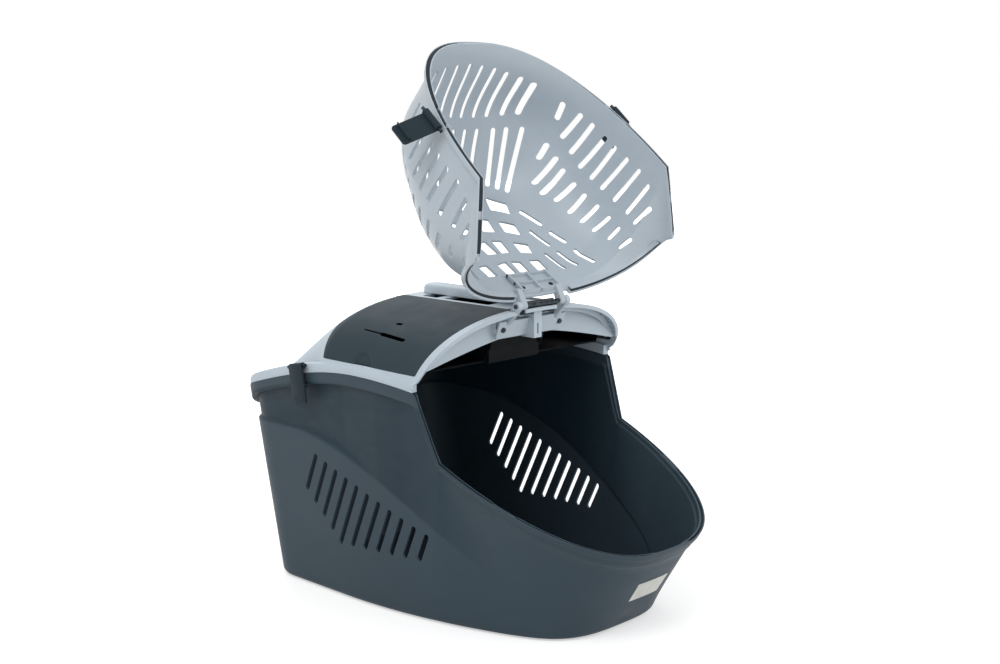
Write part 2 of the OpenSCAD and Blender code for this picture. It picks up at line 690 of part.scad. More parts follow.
module lid_solid(d = 0, low = 0) {
    stations = [for (i = [-lid_last:lid_last]) i];
    function lip_ring(z, out) = [for (i = stations) let (
            p = lid_point(i, 0, d - out, low), j = i >= 0 ? i : ring_n + i)
        [p[0], p[1], p[2] + z]];
    meridians = [for (a = lid_angles) [for (i = stations) lid_point(i, a, d, low)]];
    loft(concat(
        d > 0 ? [lip_ring(0, 0)]
        : [lip_ring(0, -wall - 0.5), lip_ring(0, lip_out), lip_ring(lid_lip_h, lip_out),
            lip_ring(lid_lip_h + 0.01, 0)],
        meridians));
}

// Slots through the lid: two rows on its face, two up each side and three across its top. A point is
// given by its shares of the nose's length, of the lid's half width and of the rise from rim to crest
function nose_at(share) = knee_x + share * nose_len;
function rise_at(share) = mix(front_z, crest_z, share);

// From one [y, z] to another along X, from one [x, z] to another along Y, and along X cut down Z
module slot_forward(a, b) {
    hull() for (p = [a, b])
        translate([nose_at(0.45), p[0], p[1]]) rotate([0, 90, 0])
            cylinder(d = slot_w, h = 0.65 * nose_len, $fn = slot_sides);
}
module slot_down(x0, x1, y, w) {
    hull() for (x = [nose_at(x0) + w / 2, nose_at(x1) - w / 2])
        translate([x, y * lid_half_w, rise_at(0.68)])
            cylinder(d = w, h = crest_z, $fn = w > slot_w ? 6 : slot_sides);
}
module face_slots() {
    for (k = [-5:5]) let (y = k * slot_pitch, q = y * y / 1000)
        slot_forward([y, rise_at(0.111) + 1.8 * q], [y, rise_at(0.392) - 1.2 * q]);
    for (k = [-6:5]) let (y = (k + 0.5) * slot_pitch * 0.96, q = y * y / 1000)
        slot_forward([y, rise_at(0.46) - 1.2 * q], [y * (1 - 0.025 * q), rise_at(0.718)]);
}
// The two rows up each side run from the face (t = 0) to the arch (t = 1)
side_count = 9;
module side_slots() {
    for (k = [0:side_count - 1]) let (
            t = k / (side_count - 1),
            low = [nose_at(0.719 - 0.724 * t + 0.035 * pow(t, 8)),
                rise_at(0.232 + 0.257 * t + 0.083 * pow(t, 8))],
            low_run = rise_at(0.327 + 0.349 * pow(t, 0.62)) - low[1],
            high = [nose_at(0.774 - 0.583 * t - 0.131 * t * t), rise_at(0.46 + 0.291 * pow(t, 0.7))],
            high_run = k == 0 ? 20 : rise_at(0.651 + 0.154 * pow(t, 0.8)) - high[1]) {
        slot_across(low, low + low_run * [0.44, 1], slot_w, lid_half_w / 3, half_w);
        slot_across(high, high + high_run * [0.33, 1], slot_w, lid_half_w / 3, half_w);
    }
}
// Wide lozenges near the crest and narrow slots outside them, each [start, end, y]
wide_slot_w = 14;
wide_slots = [[0.266, 0.357, 0.08], [0.266, 0.357, 0.282], [0.417, 0.538, 0.094], [0.417, 0.538, 0.315],
    [0.603, 0.719, 0.168], [0.603, 0.719, 0.342]];
thin_slots = [[0.241, 0.367, 0.47], [0.206, 0.357, 0.59], [0.151, 0.317, 0.705], [0.427, 0.548, 0.51],
    [0.382, 0.492, 0.658], [0.553, 0.673, 0.55]];
module top_slots() {
    for (q = wide_slots) slot_down(q[0], q[1], q[2], wide_slot_w);
    for (q = thin_slots) slot_down(q[0], q[1], q[2], slot_w);
}
module lid_slots() {
    face_slots();
    both_sides() {
        side_slots();
        top_slots();
    }
    slot_down(0.729, 0.844, 0, wide_slot_w);
}

module front_lid() {
    color(lid_grey) lid_swing() difference() {
        union() {
            difference() {
                lid_solid();
                lid_solid(wall, 9);
            }
            for (s = [-1, 1]) front_clip_ears(s);
        }
        lid_slots();
        translate([hinge_x - 10, -hinge_span / 2 - 1, crest_z - 16]) cube([23.5, hinge_span + 2, 40]);
        translate([front_x - 12, -11, front_z - 5]) cube([30, 22, 11]);
        for (s = [-1, 1]) front_clip_place(s) rotate([0, 90, 0])
            cylinder(r = hole_r(clip_pin_r, 8), h = clip_w + 20, center = true, $fn = 8);
        for (s = [-1, 1]) in_bracket() translate([bracket_screw_x, s * bracket_screw_y, -4])
            cylinder(r = 1.4, h = 12, $fn = 8);
    }
}

// The bracket under the lid's crest that carries its knuckles
bracket_len = 34;
bracket_half_w = 34.5;
bracket_screw_x = 22;
bracket_screw_y = 29;
module in_bracket() {
    translate([hinge_x + 12, 0, crest_z - 2 * wall - 12 * lid_fall - 5.8])
        rotate([0, atan(lid_fall), 0]) children();
}
module lid_hinge_bracket() {
    color(lid_grey) lid_swing() difference() {
        union() {
            in_bracket() {
                translate([0, -bracket_half_w, 0]) cube([bracket_len, 2 * bracket_half_w, wall]);
                for (y = [-bracket_half_w, -2, bracket_half_w - 2]) translate([2, y, -5])
                    cube([bracket_len - 2, 2, 5.1]);
                for (x = [8, bracket_len - 2]) translate([x, -bracket_half_w, -5])
                    cube([2, 2 * bracket_half_w, 5.1]);
            }
            both_sides() hull() {
                translate([hinge_x, knuckle_in, hinge_z]) rotate([-90, 0, 0])
                    cylinder(r = knuckle_r, h = knuckle_out - knuckle_in, $fn = 32);
                in_bracket() translate([0.4, knuckle_in, -2.6])
                    cube([3, knuckle_out - knuckle_in, wall + 2.2]);
            }
        }
        translate([hinge_x, -hinge_span, hinge_z]) rotate([-90, 0, 0])
            cylinder(r = pin_r + run_gap, h = 2 * hinge_span);
        for (s = [-1, 1]) in_bracket() translate([bracket_screw_x, s * bracket_screw_y, -1])
            cylinder(r = 1.3, h = 10);
    }
}
module bracket_screws() {
    color(steel) lid_swing() for (s = [-1, 1])
        in_bracket() translate([bracket_screw_x, s * bracket_screw_y, 0]) screw(7);
}

// ---- clips ----------------------------------------------------------------------------------
clip_barrel_r = clip_pin_r + 2.2;
edge_slope = atan((knee_z - front_z) / nose_len);
clip_x = nose_at(0.427);
function nose_y(x) = knee_half_w * pow(1 - pow((x - knee_x) / nose_len, 2.05), 1 / 2.575);
clip_y = nose_y(clip_x - clip_w / 2) + clip_barrel_r + 0.6;
clip_z = rim_z(clip_x) + seat_gap + 4;
clip_tuck = 17;
hook_at = 0.88 * clip_len;
keeper_w = clip_w - 13;
hook_in = 3.2;
keeper_gap = 0.6;
keeper_root = 13;

module front_clip_place(s) {
    translate([clip_x, s * clip_y, clip_z]) rotate([0, edge_slope, 0]) children();
}
module front_clip_ears(s) {
    front_clip_place(s) for (x = [-clip_w / 2 - 5, clip_w / 2 + 1]) hull() {
        translate([x, 0, 0]) rotate([0, 90, 0]) cylinder(r = clip_barrel_r, h = 4, $fn = 12);
        translate([x, -s * (clip_barrel_r + 9) - 1, 0]) cube([4, 2, 5]);
    }
}
// A clip hanging from the origin down -Z, its outside towards +Y
module clip(w, l, hook_z, hook_in, r, pin) {
    difference() {
        union() {
            rotate([0, 90, 0]) cylinder(r = r, h = w, center = true);
            translate([0, r, 0]) rotate([90, 0, 0]) linear_extrude(height = clip_t) difference() {
                translate([-w / 2, -l]) square([w, l]);
                for (s = [-1, 1]) translate([s * w / 2, -l]) rotate(45) square(5, center = true);
            }
            translate([-w / 2 + 5, r - clip_t - hook_in, -hook_z - 2]) cube([w - 10, hook_in + 0.1, 2]);
        }
        rotate([0, 90, 0]) cylinder(r = pin + run_gap, h = w + 2, center = true);
    }
}
module front_clip(s, angle) {
    color(clip_grey) lid_swing() front_clip_place(s) rotate([s * angle, 0, 0]) mirror([0, s < 0 ? 1 : 0, 0])
        clip(clip_w, clip_len, hook_at, hook_in, clip_barrel_r, clip_pin_r);
}
module front_clip_left() { front_clip(1, far_clip_open); }
module front_clip_right() { front_clip(-1, near_clip_open); }
module front_clip_pin(s) {
    color(steel) lid_swing() front_clip_place(s) rotate([0, 90, 0])
        cylinder(r = clip_pin_r, h = clip_w + 10, center = true);
}
module front_clip_pin_left() { front_clip_pin(1); }
module front_clip_pin_right() { front_clip_pin(-1); }

// The clips that hold the cover down on the tub, one at each side near the rear
hasp_x = knee_x - 220;
hasp_barrel_r = clip_pin_r + 1.8;
hasp_z = rim_z(hasp_x) + seat_gap + flange_h - 3;
hasp_slope = -11;
hasp_hook_at = flange_h + band_h - 1.6;
hasp_hook_in = 6.6;
module cover_clip_place(s) {
    translate([hasp_x, s * (half_w + hasp_barrel_r + 0.4), hasp_z]) rotate([0, hasp_slope, 0]) children();
}
module cover_clip(s) {
    color(clip_grey) cover_clip_place(s) mirror([0, s < 0 ? 1 : 0, 0])
        clip(hasp_w, hasp_len, hasp_hook_at, hasp_hook_in, hasp_barrel_r, clip_pin_r);
}
module cover_clip_left() { cover_clip(1); }
module cover_clip_right() { cover_clip(-1); }
module cover_clip_pin(s) {
    color(steel) cover_clip_place(s) rotate([0, 90, 0])
        cylinder(r = clip_pin_r, h = hasp_w + 8.4, center = true);
}
module cover_clip_pin_left() { cover_clip_pin(1); }
module cover_clip_pin_right() { cover_clip_pin(-1); }

// ---- sticker --------------------------------------------------------------------------------
// A bare paper sticker on the raked front
sticker_w = 56;
sticker_z = [45, 64];
module sticker() {
    share = sticker_w / 2 / rim_wall[1][1];
    function at(k, z, d) = let (p = mix(wall_point(0, z, d), wall_point(1, z, d), abs(k) * share))
        [p[0], k * abs(p[1]), z];
    color("white") loft([for (k = [-1, 0, 1]) [
        at(k, sticker_z[0], seat_gap), at(k, sticker_z[1], seat_gap),
        at(k, sticker_z[1], seat_gap + 0.3), at(k, sticker_z[0], seat_gap + 0.3)]]);
}

tub();
cover_frame();
bin_tray();
bin_lid_left();
bin_lid_right();
bin_lid_pin_left();
bin_lid_pin_right();
grip();
grip_screws();
hinge_block();
hinge_block_screws();
hinge_pin();
front_lid();
lid_hinge_bracket();
bracket_screws();
front_clip_left();
front_clip_right();
front_clip_pin_left();
front_clip_pin_right();
cover_clip_left();
cover_clip_right();
cover_clip_pin_left();
cover_clip_pin_right();
sticker();
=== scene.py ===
import math
import bpy
import numpy as np
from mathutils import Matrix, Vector


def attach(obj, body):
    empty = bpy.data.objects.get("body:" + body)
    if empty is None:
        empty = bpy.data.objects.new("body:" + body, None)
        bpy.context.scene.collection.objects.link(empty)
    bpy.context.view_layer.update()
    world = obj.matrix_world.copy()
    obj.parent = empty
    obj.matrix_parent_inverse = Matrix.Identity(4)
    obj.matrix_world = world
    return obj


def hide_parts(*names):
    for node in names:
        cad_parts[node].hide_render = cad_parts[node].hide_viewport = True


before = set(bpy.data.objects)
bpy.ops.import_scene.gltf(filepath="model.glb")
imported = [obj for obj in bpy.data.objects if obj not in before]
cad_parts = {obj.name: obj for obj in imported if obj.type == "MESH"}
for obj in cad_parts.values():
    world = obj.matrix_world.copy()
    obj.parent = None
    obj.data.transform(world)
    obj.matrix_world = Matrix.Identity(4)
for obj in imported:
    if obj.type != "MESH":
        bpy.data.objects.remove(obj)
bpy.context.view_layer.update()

# ---- sizes of the carrier, in millimetres -----------------------------------------------------
LENGTH, WIDTH, FOOT_Z, CREST_Z, WALL = 548.0, 332.0, 265.0, 346.0, 2.5
NOSE_LEN, KNEE_HALF_W, KNEE_Z, FRONT_Z, FOOT_RUN = 199.0, 156.3, 190.8, 105.2, 28.0
ARCH_RIM_Z, REAR_Z, REAR_CORNER = 271.5, 227.5, 52.0
LIP_OUT, LIP_H, BAND_H, SKIRT_H = 4.0, 7.0, 13.0, 9.0
BASE_HALF_W, FRONT_RAKE, REAR_RAKE, BASE_ROUND, RECESS, FOOT_H = 151.0, 71.0, 46.0, 6.5, 4.0, 1.4
FLANGE_H, ARCH_POWER, REAR_POWER, REAR_DRAW, ARCH_REACH, ARCH_LIFT = 12.0, 2.3, 1.6, 58.0, 36.0, 0.62
SEAT_GAP = 0.3
# The side crease: its height at the rear, where it starts to fall, and how fast and by which power it falls
CREASE_Z, CREASE_RUN, CREASE_FALL, CREASE_POWER = 193.0, 235.0, 0.0173, 1.57
# Over the last stretch to the rear the rim drops and its band grows
REAR_RUN, REAR_DROP, BAND_GROWTH = 32.0, 6.0, 7.0
# The floor's sides draw in forward of where it is full, as a parabola
BASE_FULL, BASE_DRAW = 165.0, 0.0008
BOSS_Y, BOSS_R = 46.8, 9.0
SPINE_HALF_W, BIN_BAND, BIN_LOW_Z, BIN_GAP = 36.0, 11.0, 284.0, 0.4
GRIP_LEN, GRIP_W = 154.0, 30.0
LID_OPEN, HINGE_Z = 162.4, 350.0
LID_REACH, LID_HALF_W, LID_PLAN, CREST_RUN, LID_FALL = 211.0, 149.0, 3.0, 139.0, 0.3
LID_GAP, LID_FULL_AT, SIDE_POWER, FACE_POWER, CORNER_POWER = 1.4, 0.44, 3.5, 4.0, 2.4
VENTS, VENT_W, VENT_PITCH, VENT_LEAN = 11, 6.6, 17.6, 24.3

HALF_W, FRONT_X = WIDTH / 2, LENGTH / 2
KNEE_X = FRONT_X - NOSE_LEN
FOOT_X = KNEE_X - FOOT_RUN
CLIP_X = KNEE_X + 0.427 * NOSE_LEN
REAR_X = -LENGTH / 2
ARCH_X = KNEE_X - 128
TOP_X = HINGE_X = ARCH_TOP_X = FOOT_X + ARCH_REACH
BULK_X = ARCH_TOP_X - 25
CORNER_X = REAR_X + REAR_CORNER
DOME_BACK_X = KNEE_X - 180
BIN_REAR_X = KNEE_X - 182
BASE_FRONT_X, BASE_REAR_X, BASE_KNEE_X, BASE_CORNER = FRONT_X - FRONT_RAKE, REAR_X + REAR_RAKE, KNEE_X - 34, 42.0
GRIP_X = FOOT_X - 74


def clamp(t):
    return np.clip(t, 0.0, 1.0)


def mix(a, b, t):
    return a + (b - a) * t


def ease(t):
    t = clamp(t)
    return t * t * (3 - 2 * t)


def spow(v, p):
    return np.sign(v) * np.abs(v) ** p


def circle(count):
    """The angles of count points evenly spaced round a circle."""
    return np.radians(np.linspace(0, 360, count + 1)[:-1])


# ---- outlines -------------------------------------------------------------------------------
def rear_end(x):
    """Share from 0 to 1 over the last stretch to the rear, where the rim drops and its band is taller."""
    return clamp((REAR_X + REAR_RUN - x) / REAR_RUN)


def rim_z(x):
    """Height of the tub's rim: a straight slope over the nose, a steep foot, then a shallow parabola that falls faster
    to the rear and drops at the end."""
    s = (ARCH_X - x) / (ARCH_X - REAR_X)
    return -REAR_DROP * rear_end(x) ** 2 + np.where(x >= KNEE_X, KNEE_Z - (KNEE_Z - FRONT_Z) * (x - KNEE_X) / NOSE_LEN,
                    np.where(x >= FOOT_X, mix(KNEE_Z, FOOT_Z, (KNEE_X - x) / FOOT_RUN),
                             np.where(x >= ARCH_X,
                                      ARCH_RIM_Z - (ARCH_RIM_Z - FOOT_Z) * ((x - ARCH_X) / (FOOT_X - ARCH_X)) ** 2,
                                      ARCH_RIM_Z - (ARCH_RIM_Z - REAR_Z) * s * s * (1.5 - 0.5 * s))))


def rim_half(u):
    """Plan of the rim for u from 0 (front centre) to 26 (rear centre): a superellipse nose to 10, a straight
    foot to 12, a straight side to 19, a superellipse corner to 24 and the straight rear."""
    a = np.radians(9 * np.minimum(u, 10))
    c = np.where(u >= 10, 0.0, np.abs(np.cos(a)))
    nose = KNEE_X + NOSE_LEN * c ** (2 / 2.05), KNEE_HALF_W * np.abs(np.sin(a)) ** (2 / 2.575)
    t = clamp((u - 10) / 2)
    foot = mix(KNEE_X, FOOT_X, t), mix(KNEE_HALF_W, HALF_W - 1, t)
    side = mix(FOOT_X, CORNER_X, clamp((u - 12) / 7)), HALF_W - 1 + clamp(u - 12)
    a = np.radians(18 * np.clip(u - 19, 0, 5))
    p = 2 / 2.3
    corner = (CORNER_X - REAR_CORNER * np.abs(np.sin(a)) ** p,
              HALF_W - REAR_CORNER + REAR_CORNER * np.abs(np.cos(a)) ** p)
    rear = REAR_X, (HALF_W - REAR_CORNER) * (1 - clamp((u - 24) / 2))
    return [np.where(u <= 10, nose[k], np.where(u <= 12, foot[k], np.where(u <= 19, side[k], np.where(
        u <= 24, corner[k], rear[k])))) for k in (0, 1)]


def floor_y(x):
    return BASE_HALF_W - BASE_DRAW * np.maximum(0, x - (KNEE_X - BASE_FULL)) ** 2


def base_half(u):
    """Plan of the floor at the same u: its front is a power curve, its sides draw in along a parabola, its corners
    are superellipses."""
    a = np.radians(9 * np.minimum(u, 10))
    x = mix(BASE_KNEE_X, BASE_FRONT_X, np.where(u >= 10, 0.0, np.abs(np.cos(a))) ** 0.22)
    nose = x, floor_y(x) * np.abs(np.sin(a)) ** 0.62
    x = BASE_KNEE_X - 9 * np.clip(u - 10, 0, 2)
    foot = x, floor_y(x)
    x = mix(BASE_KNEE_X - 18, BASE_REAR_X + BASE_CORNER, clamp((u - 12) / 7))
    side = x, floor_y(x)
    a = np.radians(18 * np.clip(u - 19, 0, 5))
    corner = (BASE_REAR_X + BASE_CORNER * (1 - np.abs(np.sin(a)) ** 0.87),
              BASE_HALF_W - BASE_CORNER * (1 - np.abs(np.cos(a)) ** 0.87))
    rear = BASE_REAR_X, (BASE_HALF_W - BASE_CORNER) * (1 - clamp((u - 24) / 2))
    return [np.where(u <= 10, nose[k], np.where(u <= 12, foot[k], np.where(u <= 19, side[k], np.where(
        u <= 24, corner[k], rear[k])))) for k in (0, 1)]


def rim_normal(u):
    """Outward normal of the rim's plan, from the chord between u - 0.3 and u + 0.3."""
    def signed(v):
        w = np.abs(v)
        w = np.where(w > 26, 52 - w, w)
        x, y = rim_half(w)
        return x, np.where((v < 0) | (v > 26), -y, y)
    (xa, ya), (xb, yb) = signed(u - 0.3), signed(u + 0.3)
    l = np.hypot(xb - xa, yb - ya)
    return (yb - ya) / l, -(xb - xa) / l


def even_steps(count, last):
    """Values of u from 0 to last, evenly spaced along the line half-way between floor and rim."""
    u = np.linspace(0, last, 3001)
    (xr, yr), (xb, yb) = rim_half(u), base_half(u)
    x, y = (xr + xb) / 2, (yr + yb) / 2
    s = np.r_[0, np.cumsum(np.hypot(np.diff(x), np.diff(y)))]
    return np.interp(np.linspace(0, s[-1], count + 1), s, u)


def swing(p, angle=LID_OPEN):
    """What is laid out on the closed lid, turned back about the hinge pin to where the lid stands open."""
    a = math.radians(angle)
    x, z = p[..., 0] - HINGE_X, p[..., 2] - HINGE_Z
    return np.stack([HINGE_X + x * math.cos(a) - z * math.sin(a), p[..., 1],
                     HINGE_Z + x * math.sin(a) + z * math.cos(a)], -1)


# ---- meshes ---------------------------------------------------------------------------------
def grid_faces(rows, cols):
    i = np.arange(rows - 1)[:, None] * cols + np.arange(cols - 1)[None, :]
    return np.stack([i, i + 1, i + cols + 1, i + cols], -1).reshape(-1, 4)


def weld(points, faces):
    """Joins points closer than two thousandths of a millimetre; a quad that loses a corner becomes a triangle."""
    _, first, inverse = np.unique(np.round(points / 0.002).astype(np.int64), axis=0, return_index=True,
                                  return_inverse=True)
    inverse = inverse.ravel()
    out = []
    for f in faces:
        f = inverse[f]
        if f.shape[1] == 4:
            same = f == np.roll(f, -1, 1)
            out.append(f[~same.any(1)])
            for k in range(4):
                one = same[:, k] & (same.sum(1) == 1)
                out.append(np.roll(f[one], -k, 1)[:, 1:])
        else:
            out.append(f[(f[:, 0] != f[:, 1]) & (f[:, 1] != f[:, 2]) & (f[:, 2] != f[:, 0])])
    return points[first], first, [f for f in out if len(f)]


def outward(points, faces):
    """The faces of a closed mesh, turned round together if the volume they enclose comes out negative."""
    total = 0.0
    for f in faces:
        q = points[f]
        for k in range(1, f.shape[1] - 1):
            total += np.einsum("ij,ij->", q[:, 0], np.cross(q[:, k], q[:, k + 1]))
    return points, faces if total >= 0 else [f[:, ::-1] for f in faces]


def shell(outer, inner, faces):
    """A wall with the outer and the inner surface, closed along every free edge, slot outlines included."""
    points, first, faces = weld(outer, faces)
    n = len(points)
    edges = np.concatenate([np.stack([f[:, k], f[:, (k + 1) % f.shape[1]]], -1) for f in faces for k in
                            range(f.shape[1])])
    code, back = edges[:, 0] * n + edges[:, 1], edges[:, 1] * n + edges[:, 0]
    free = edges[~np.isin(code, back)]
    wall = np.stack([free[:, 1], free[:, 0], free[:, 0] + n, free[:, 1] + n], -1)
    return outward(np.concatenate([points, inner[first]]), faces + [f[:, ::-1] + n for f in faces] + [wall])


def punch(u, v, place, field, cell, inside=False):
    """Pulls the grid points within half a cell of the outline where field is zero onto it, and leaves out
    the cells inside it (or outside it, if inside is true)."""
    u, v = u.copy(), v.copy()
    turn = -1.0 if inside else 1.0
    f = turn * field(place(u, v))
    du, dv = np.gradient(u, axis=0) + np.gradient(u, axis=1), np.gradient(v, axis=0) + np.gradient(v, axis=1)
    near = np.abs(f) < 1.5 * cell
    u0, v0, du, dv = u[near], v[near], du[near], dv[near]
    a, b = np.zeros_like(u0), np.zeros_like(v0)
    step = 0.08
    for _ in range(3):
        uu, vv = u0 + a * du, v0 + b * dv
        g = turn * field(place(uu, vv))
        ga = (turn * field(place(uu + step * du, vv)) - g) / step
        gb = (turn * field(place(uu, vv + step * dv)) - g) / step
        size = ga * ga + gb * gb + 1e-9
        a, b = a - g * ga / size, b - g * gb / size
    ok = np.maximum(np.abs(a), np.abs(b)) < 0.58
    u[near], v[near] = np.where(ok, u0 + a * du, u0), np.where(ok, v0 + b * dv, v0)
    side = np.sign(f).astype(int)
    on = np.zeros(u.shape, bool)
    on[near] = ok
    side[on] = 0
    quads = grid_faces(*u.shape)
    s = side.ravel()[quads]
    cu, cv = u.ravel()[quads].mean(1), v.ravel()[quads].mean(1)
    some = (s <= 0).any(1)
    middle = np.ones(len(quads))
    middle[some] = turn * field(place(cu[some], cv[some]))
    cross = (s < 0).any(1) & (s > 0).any(1)
    keep = np.where((s < 0).any(1), False, (s > 0).any(1) | (middle > 0))
    tris = []
    for k in (0, 1):
        split = cross & (s[:, k] == 0) & (s[:, k + 2] == 0)
        for t in ((k, k + 1, k + 2), (k + 2, (k + 3) % 4, k)):
            tris.append(quads[split & (s[:, t[1]] > 0)][:, t])
    odd = cross & ~(((s[:, 0] == 0) & (s[:, 2] == 0)) | ((s[:, 1] == 0) & (s[:, 3] == 0)))
    return u, v, [quads[keep | (odd & (middle > 0))], np.concatenate(tris)]


def piece(name, points, faces, body, material, *nodes, sharp=35):
    """A mesh piece at the origin, from points in millimetres, that rides on a body and stands for nodes."""
    mesh = bpy.data.meshes.new(name)
    mesh.from_pydata((np.asarray(points) * 0.001).tolist(), [],
                     [list(map(int, f)) for block in faces for f in block])
    mesh.validate()
    mesh.polygons.foreach_set("use_smooth", np.ones(len(mesh.polygons), bool))
    mesh.set_sharp_from_angle(angle=math.radians(sharp))
    mesh.update()
    obj = bpy.data.objects.new(name, mesh)
    bpy.context.scene.collection.objects.link(obj)
    mesh.materials.append(material)
    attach(obj, body)
    if nodes:
        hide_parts(*nodes)
    return obj


def joined(parts):
    """Several (points, faces) as one."""
    points, faces, n = [], [], 0
    for p, f in parts:
        points.append(p)
        faces += [q + n for q in f]
        n += len(p)
    return np.concatenate(points), faces


def tube(rings):
    """Skins closed rings, as an array rings x points x 3, and closes both ends at their centres."""
    m, n = rings.shape[:2]
    points = np.concatenate([rings.reshape(-1, 3), rings[0].mean(0)[None], rings[-1].mean(0)[None]])
    i = np.arange(m - 1)[:, None] * n + np.arange(n)[None, :]
    j = np.arange(m - 1)[:, None] * n + (np.arange(n)[None, :] + 1) % n
    k = np.arange(n)
    return outward(points, [np.stack([i, j, j + n, i + n], -1).reshape(-1, 4),
                            np.stack([np.full(n, m * n), (k + 1) % n, k], -1),
                            np.stack([np.full(n, m * n + 1), (m - 1) * n + k, (m - 1) * n + (k + 1) % n], -1)])


def bar_distance(q, a, b, r):
    """Signed distance of points q (.., 2) from a slot with round ends of radius r between a and b."""
    ab = np.subtract(b, a)
    t = clamp(((q - a) @ ab) / max(ab @ ab, 1e-9))
    return np.hypot(*np.moveaxis(q - a - t[..., None] * ab, -1, 0)) - r


# ---- tub ------------------------------------------------------------------------------------
def crease_z(x, top):
    """Height of the crease along the side: level at the rear, then falling as a power curve to the front corner."""
    fall = CREASE_FALL * np.maximum(0, x - (KNEE_X - CREASE_RUN)) ** CREASE_POWER
    return np.minimum(np.maximum(CREASE_Z - fall, 24), top - 32)


def wall_point(u, z, d):
    """The tub's wall: ruled between floor and rim outlines, moved out by d; the sign of u is the side."""
    w = np.abs(u)
    (xr, yr), (xb, yb) = rim_half(w), base_half(w)
    nx, ny = rim_normal(w)
    t = z / rim_z(xr)
    x = mix(xb, xr - LIP_OUT * nx, t) + d * nx
    y = mix(yb, yr - LIP_OUT * ny, t) + d * ny
    return np.stack([x, np.sign(u) * np.maximum(y, 0), z + 0 * x], -1)


def tub_rows(u, v, inner):
    """Height z, outward offset d and share f of the floor's reach for row v: 0-1 floor, 1-2 rounded edge, 2-3
    wall up to the crease, 3-4 crease, 4-5 recess, 5-6 skirt, 6-7 under the lip, 7-8 lip, 8-9 its rounded edge, 9-10
    its top, 10-13 down, across and up the groove in the top, which ends at the clips and at the front notch."""
    w = np.abs(u)
    xr, _ = rim_half(w)
    xb, _ = base_half(w)
    top = rim_z(xr)
    crease = crease_z(mix(xb, xr, 0.6), top)
    fade = clamp((KNEE_X - 95 - xr) / 60)
    nose = clamp((xr - FOOT_X) / FOOT_RUN)
    lip_z = top - mix(BAND_H, LIP_H, nose) - BAND_GROWTH * rear_end(xr) ** 1.5
    skirt = 2 * clamp((xr - KNEE_X - 0.35 * NOSE_LEN) / 20)
    s = [clamp(v - k) for k in range(13)]
    r = BASE_ROUND - (WALL if inner else 0)
    low = FOOT_H + (WALL if inner else 0)
    out = -WALL if inner else 0.0
    deep = -(mix(1.6, RECESS, fade) if inner else RECESS * fade)
    phi = np.radians(90 * s[1])
    z = low + r * (1 - np.cos(phi)) * (v >= 1)
    d = out - r * (1 - np.sin(phi))
    z = np.where(v > 2, mix(low + r, crease - 2, s[2]), z)
    d = np.where(v > 2, out, d)
    z = np.where(v > 3, mix(crease - 2, crease + 3, s[3]), z)
    d = np.where(v > 3, out + deep * ease(s[3]), d)
    z = np.where(v > 4, mix(crease + 3, lip_z - SKIRT_H - 2, s[4]), z)
    z = np.where(v > 5, mix(lip_z - SKIRT_H - 2, lip_z - 0.4, s[5]), z)
    if inner:
        z = np.where(v > 6, mix(lip_z - 0.4, top, clamp((v - 6) / 7)), z)
        d = np.where(v > 6, out + deep * (1 - ease((v - 6.4) / 2.5)), d)
    else:
        skirt = mix(deep, 2, clamp(skirt / 2))
        d = np.where(v > 5, mix(deep, skirt, ease(s[5] / 0.3)), d)
        phi = np.radians(90 * clamp(2 * s[6] - 1))
        z = np.where(v > 6, lip_z - 0.4 + 0.8 * (1 - np.cos(phi)), z)
        d = np.where(v > 6, mix(skirt, LIP_OUT - 0.8, clamp(2 * s[6])) + 0.8 * np.sin(phi), d)
        z = np.where(v > 7, mix(lip_z + 0.4, top - 1, s[7]), z)
        phi = np.radians(90 * s[8])
        z = np.where(v > 8, top - 1 + np.sin(phi), z)
        d = np.where(v > 8, LIP_OUT - 1 + np.cos(phi), d)
        deep = 3.4 * ease((np.abs(xr - CLIP_X) - 13) / 3) * ease((np.abs(xr - FRONT_X) - 1) / 3)
        d = np.where(v > 9, mix(LIP_OUT - 1, 2.2, s[9]), d)
        z = np.where(v > 9, top + 0 * z, z)
        z = np.where(v > 10, top - deep * np.where(v > 12, 1 - s[12], s[10]), z)
        d = np.where(v > 11, mix(2.2, -0.6, s[11]), d)
    return z, d, s[0]


def tub_surface(u, v, inner=False):
    z, d, f = tub_rows(u, v, inner)
    p = wall_point(u, z, d)
    middle = np.clip(p[..., 0], BASE_REAR_X + 120, BASE_FRONT_X - 120)
    p[..., 0], p[..., 1] = mix(middle, p[..., 0], f), p[..., 1] * f
    return p


def vent_field(p):
    """Distance from the leaning vents, seen along Y."""
    q, best = p[..., [0, 2]], np.full(p.shape[:-1], 99.0)
    for k in range(VENTS):
        x, z = KNEE_X - 204.7 + VENT_PITCH * k, 163.8 - 6.2 * k
        low = 123 - 13.6 * k if k < 4 else 68.6 + (k - 4)
        foot = (x - math.tan(math.radians(VENT_LEAN)) * (z - low), low)
        best = np.minimum(best, bar_distance(q, (x, z), foot, VENT_W / 2))
    return np.where(np.abs(p[..., 1]) > 80, best, 99.0)


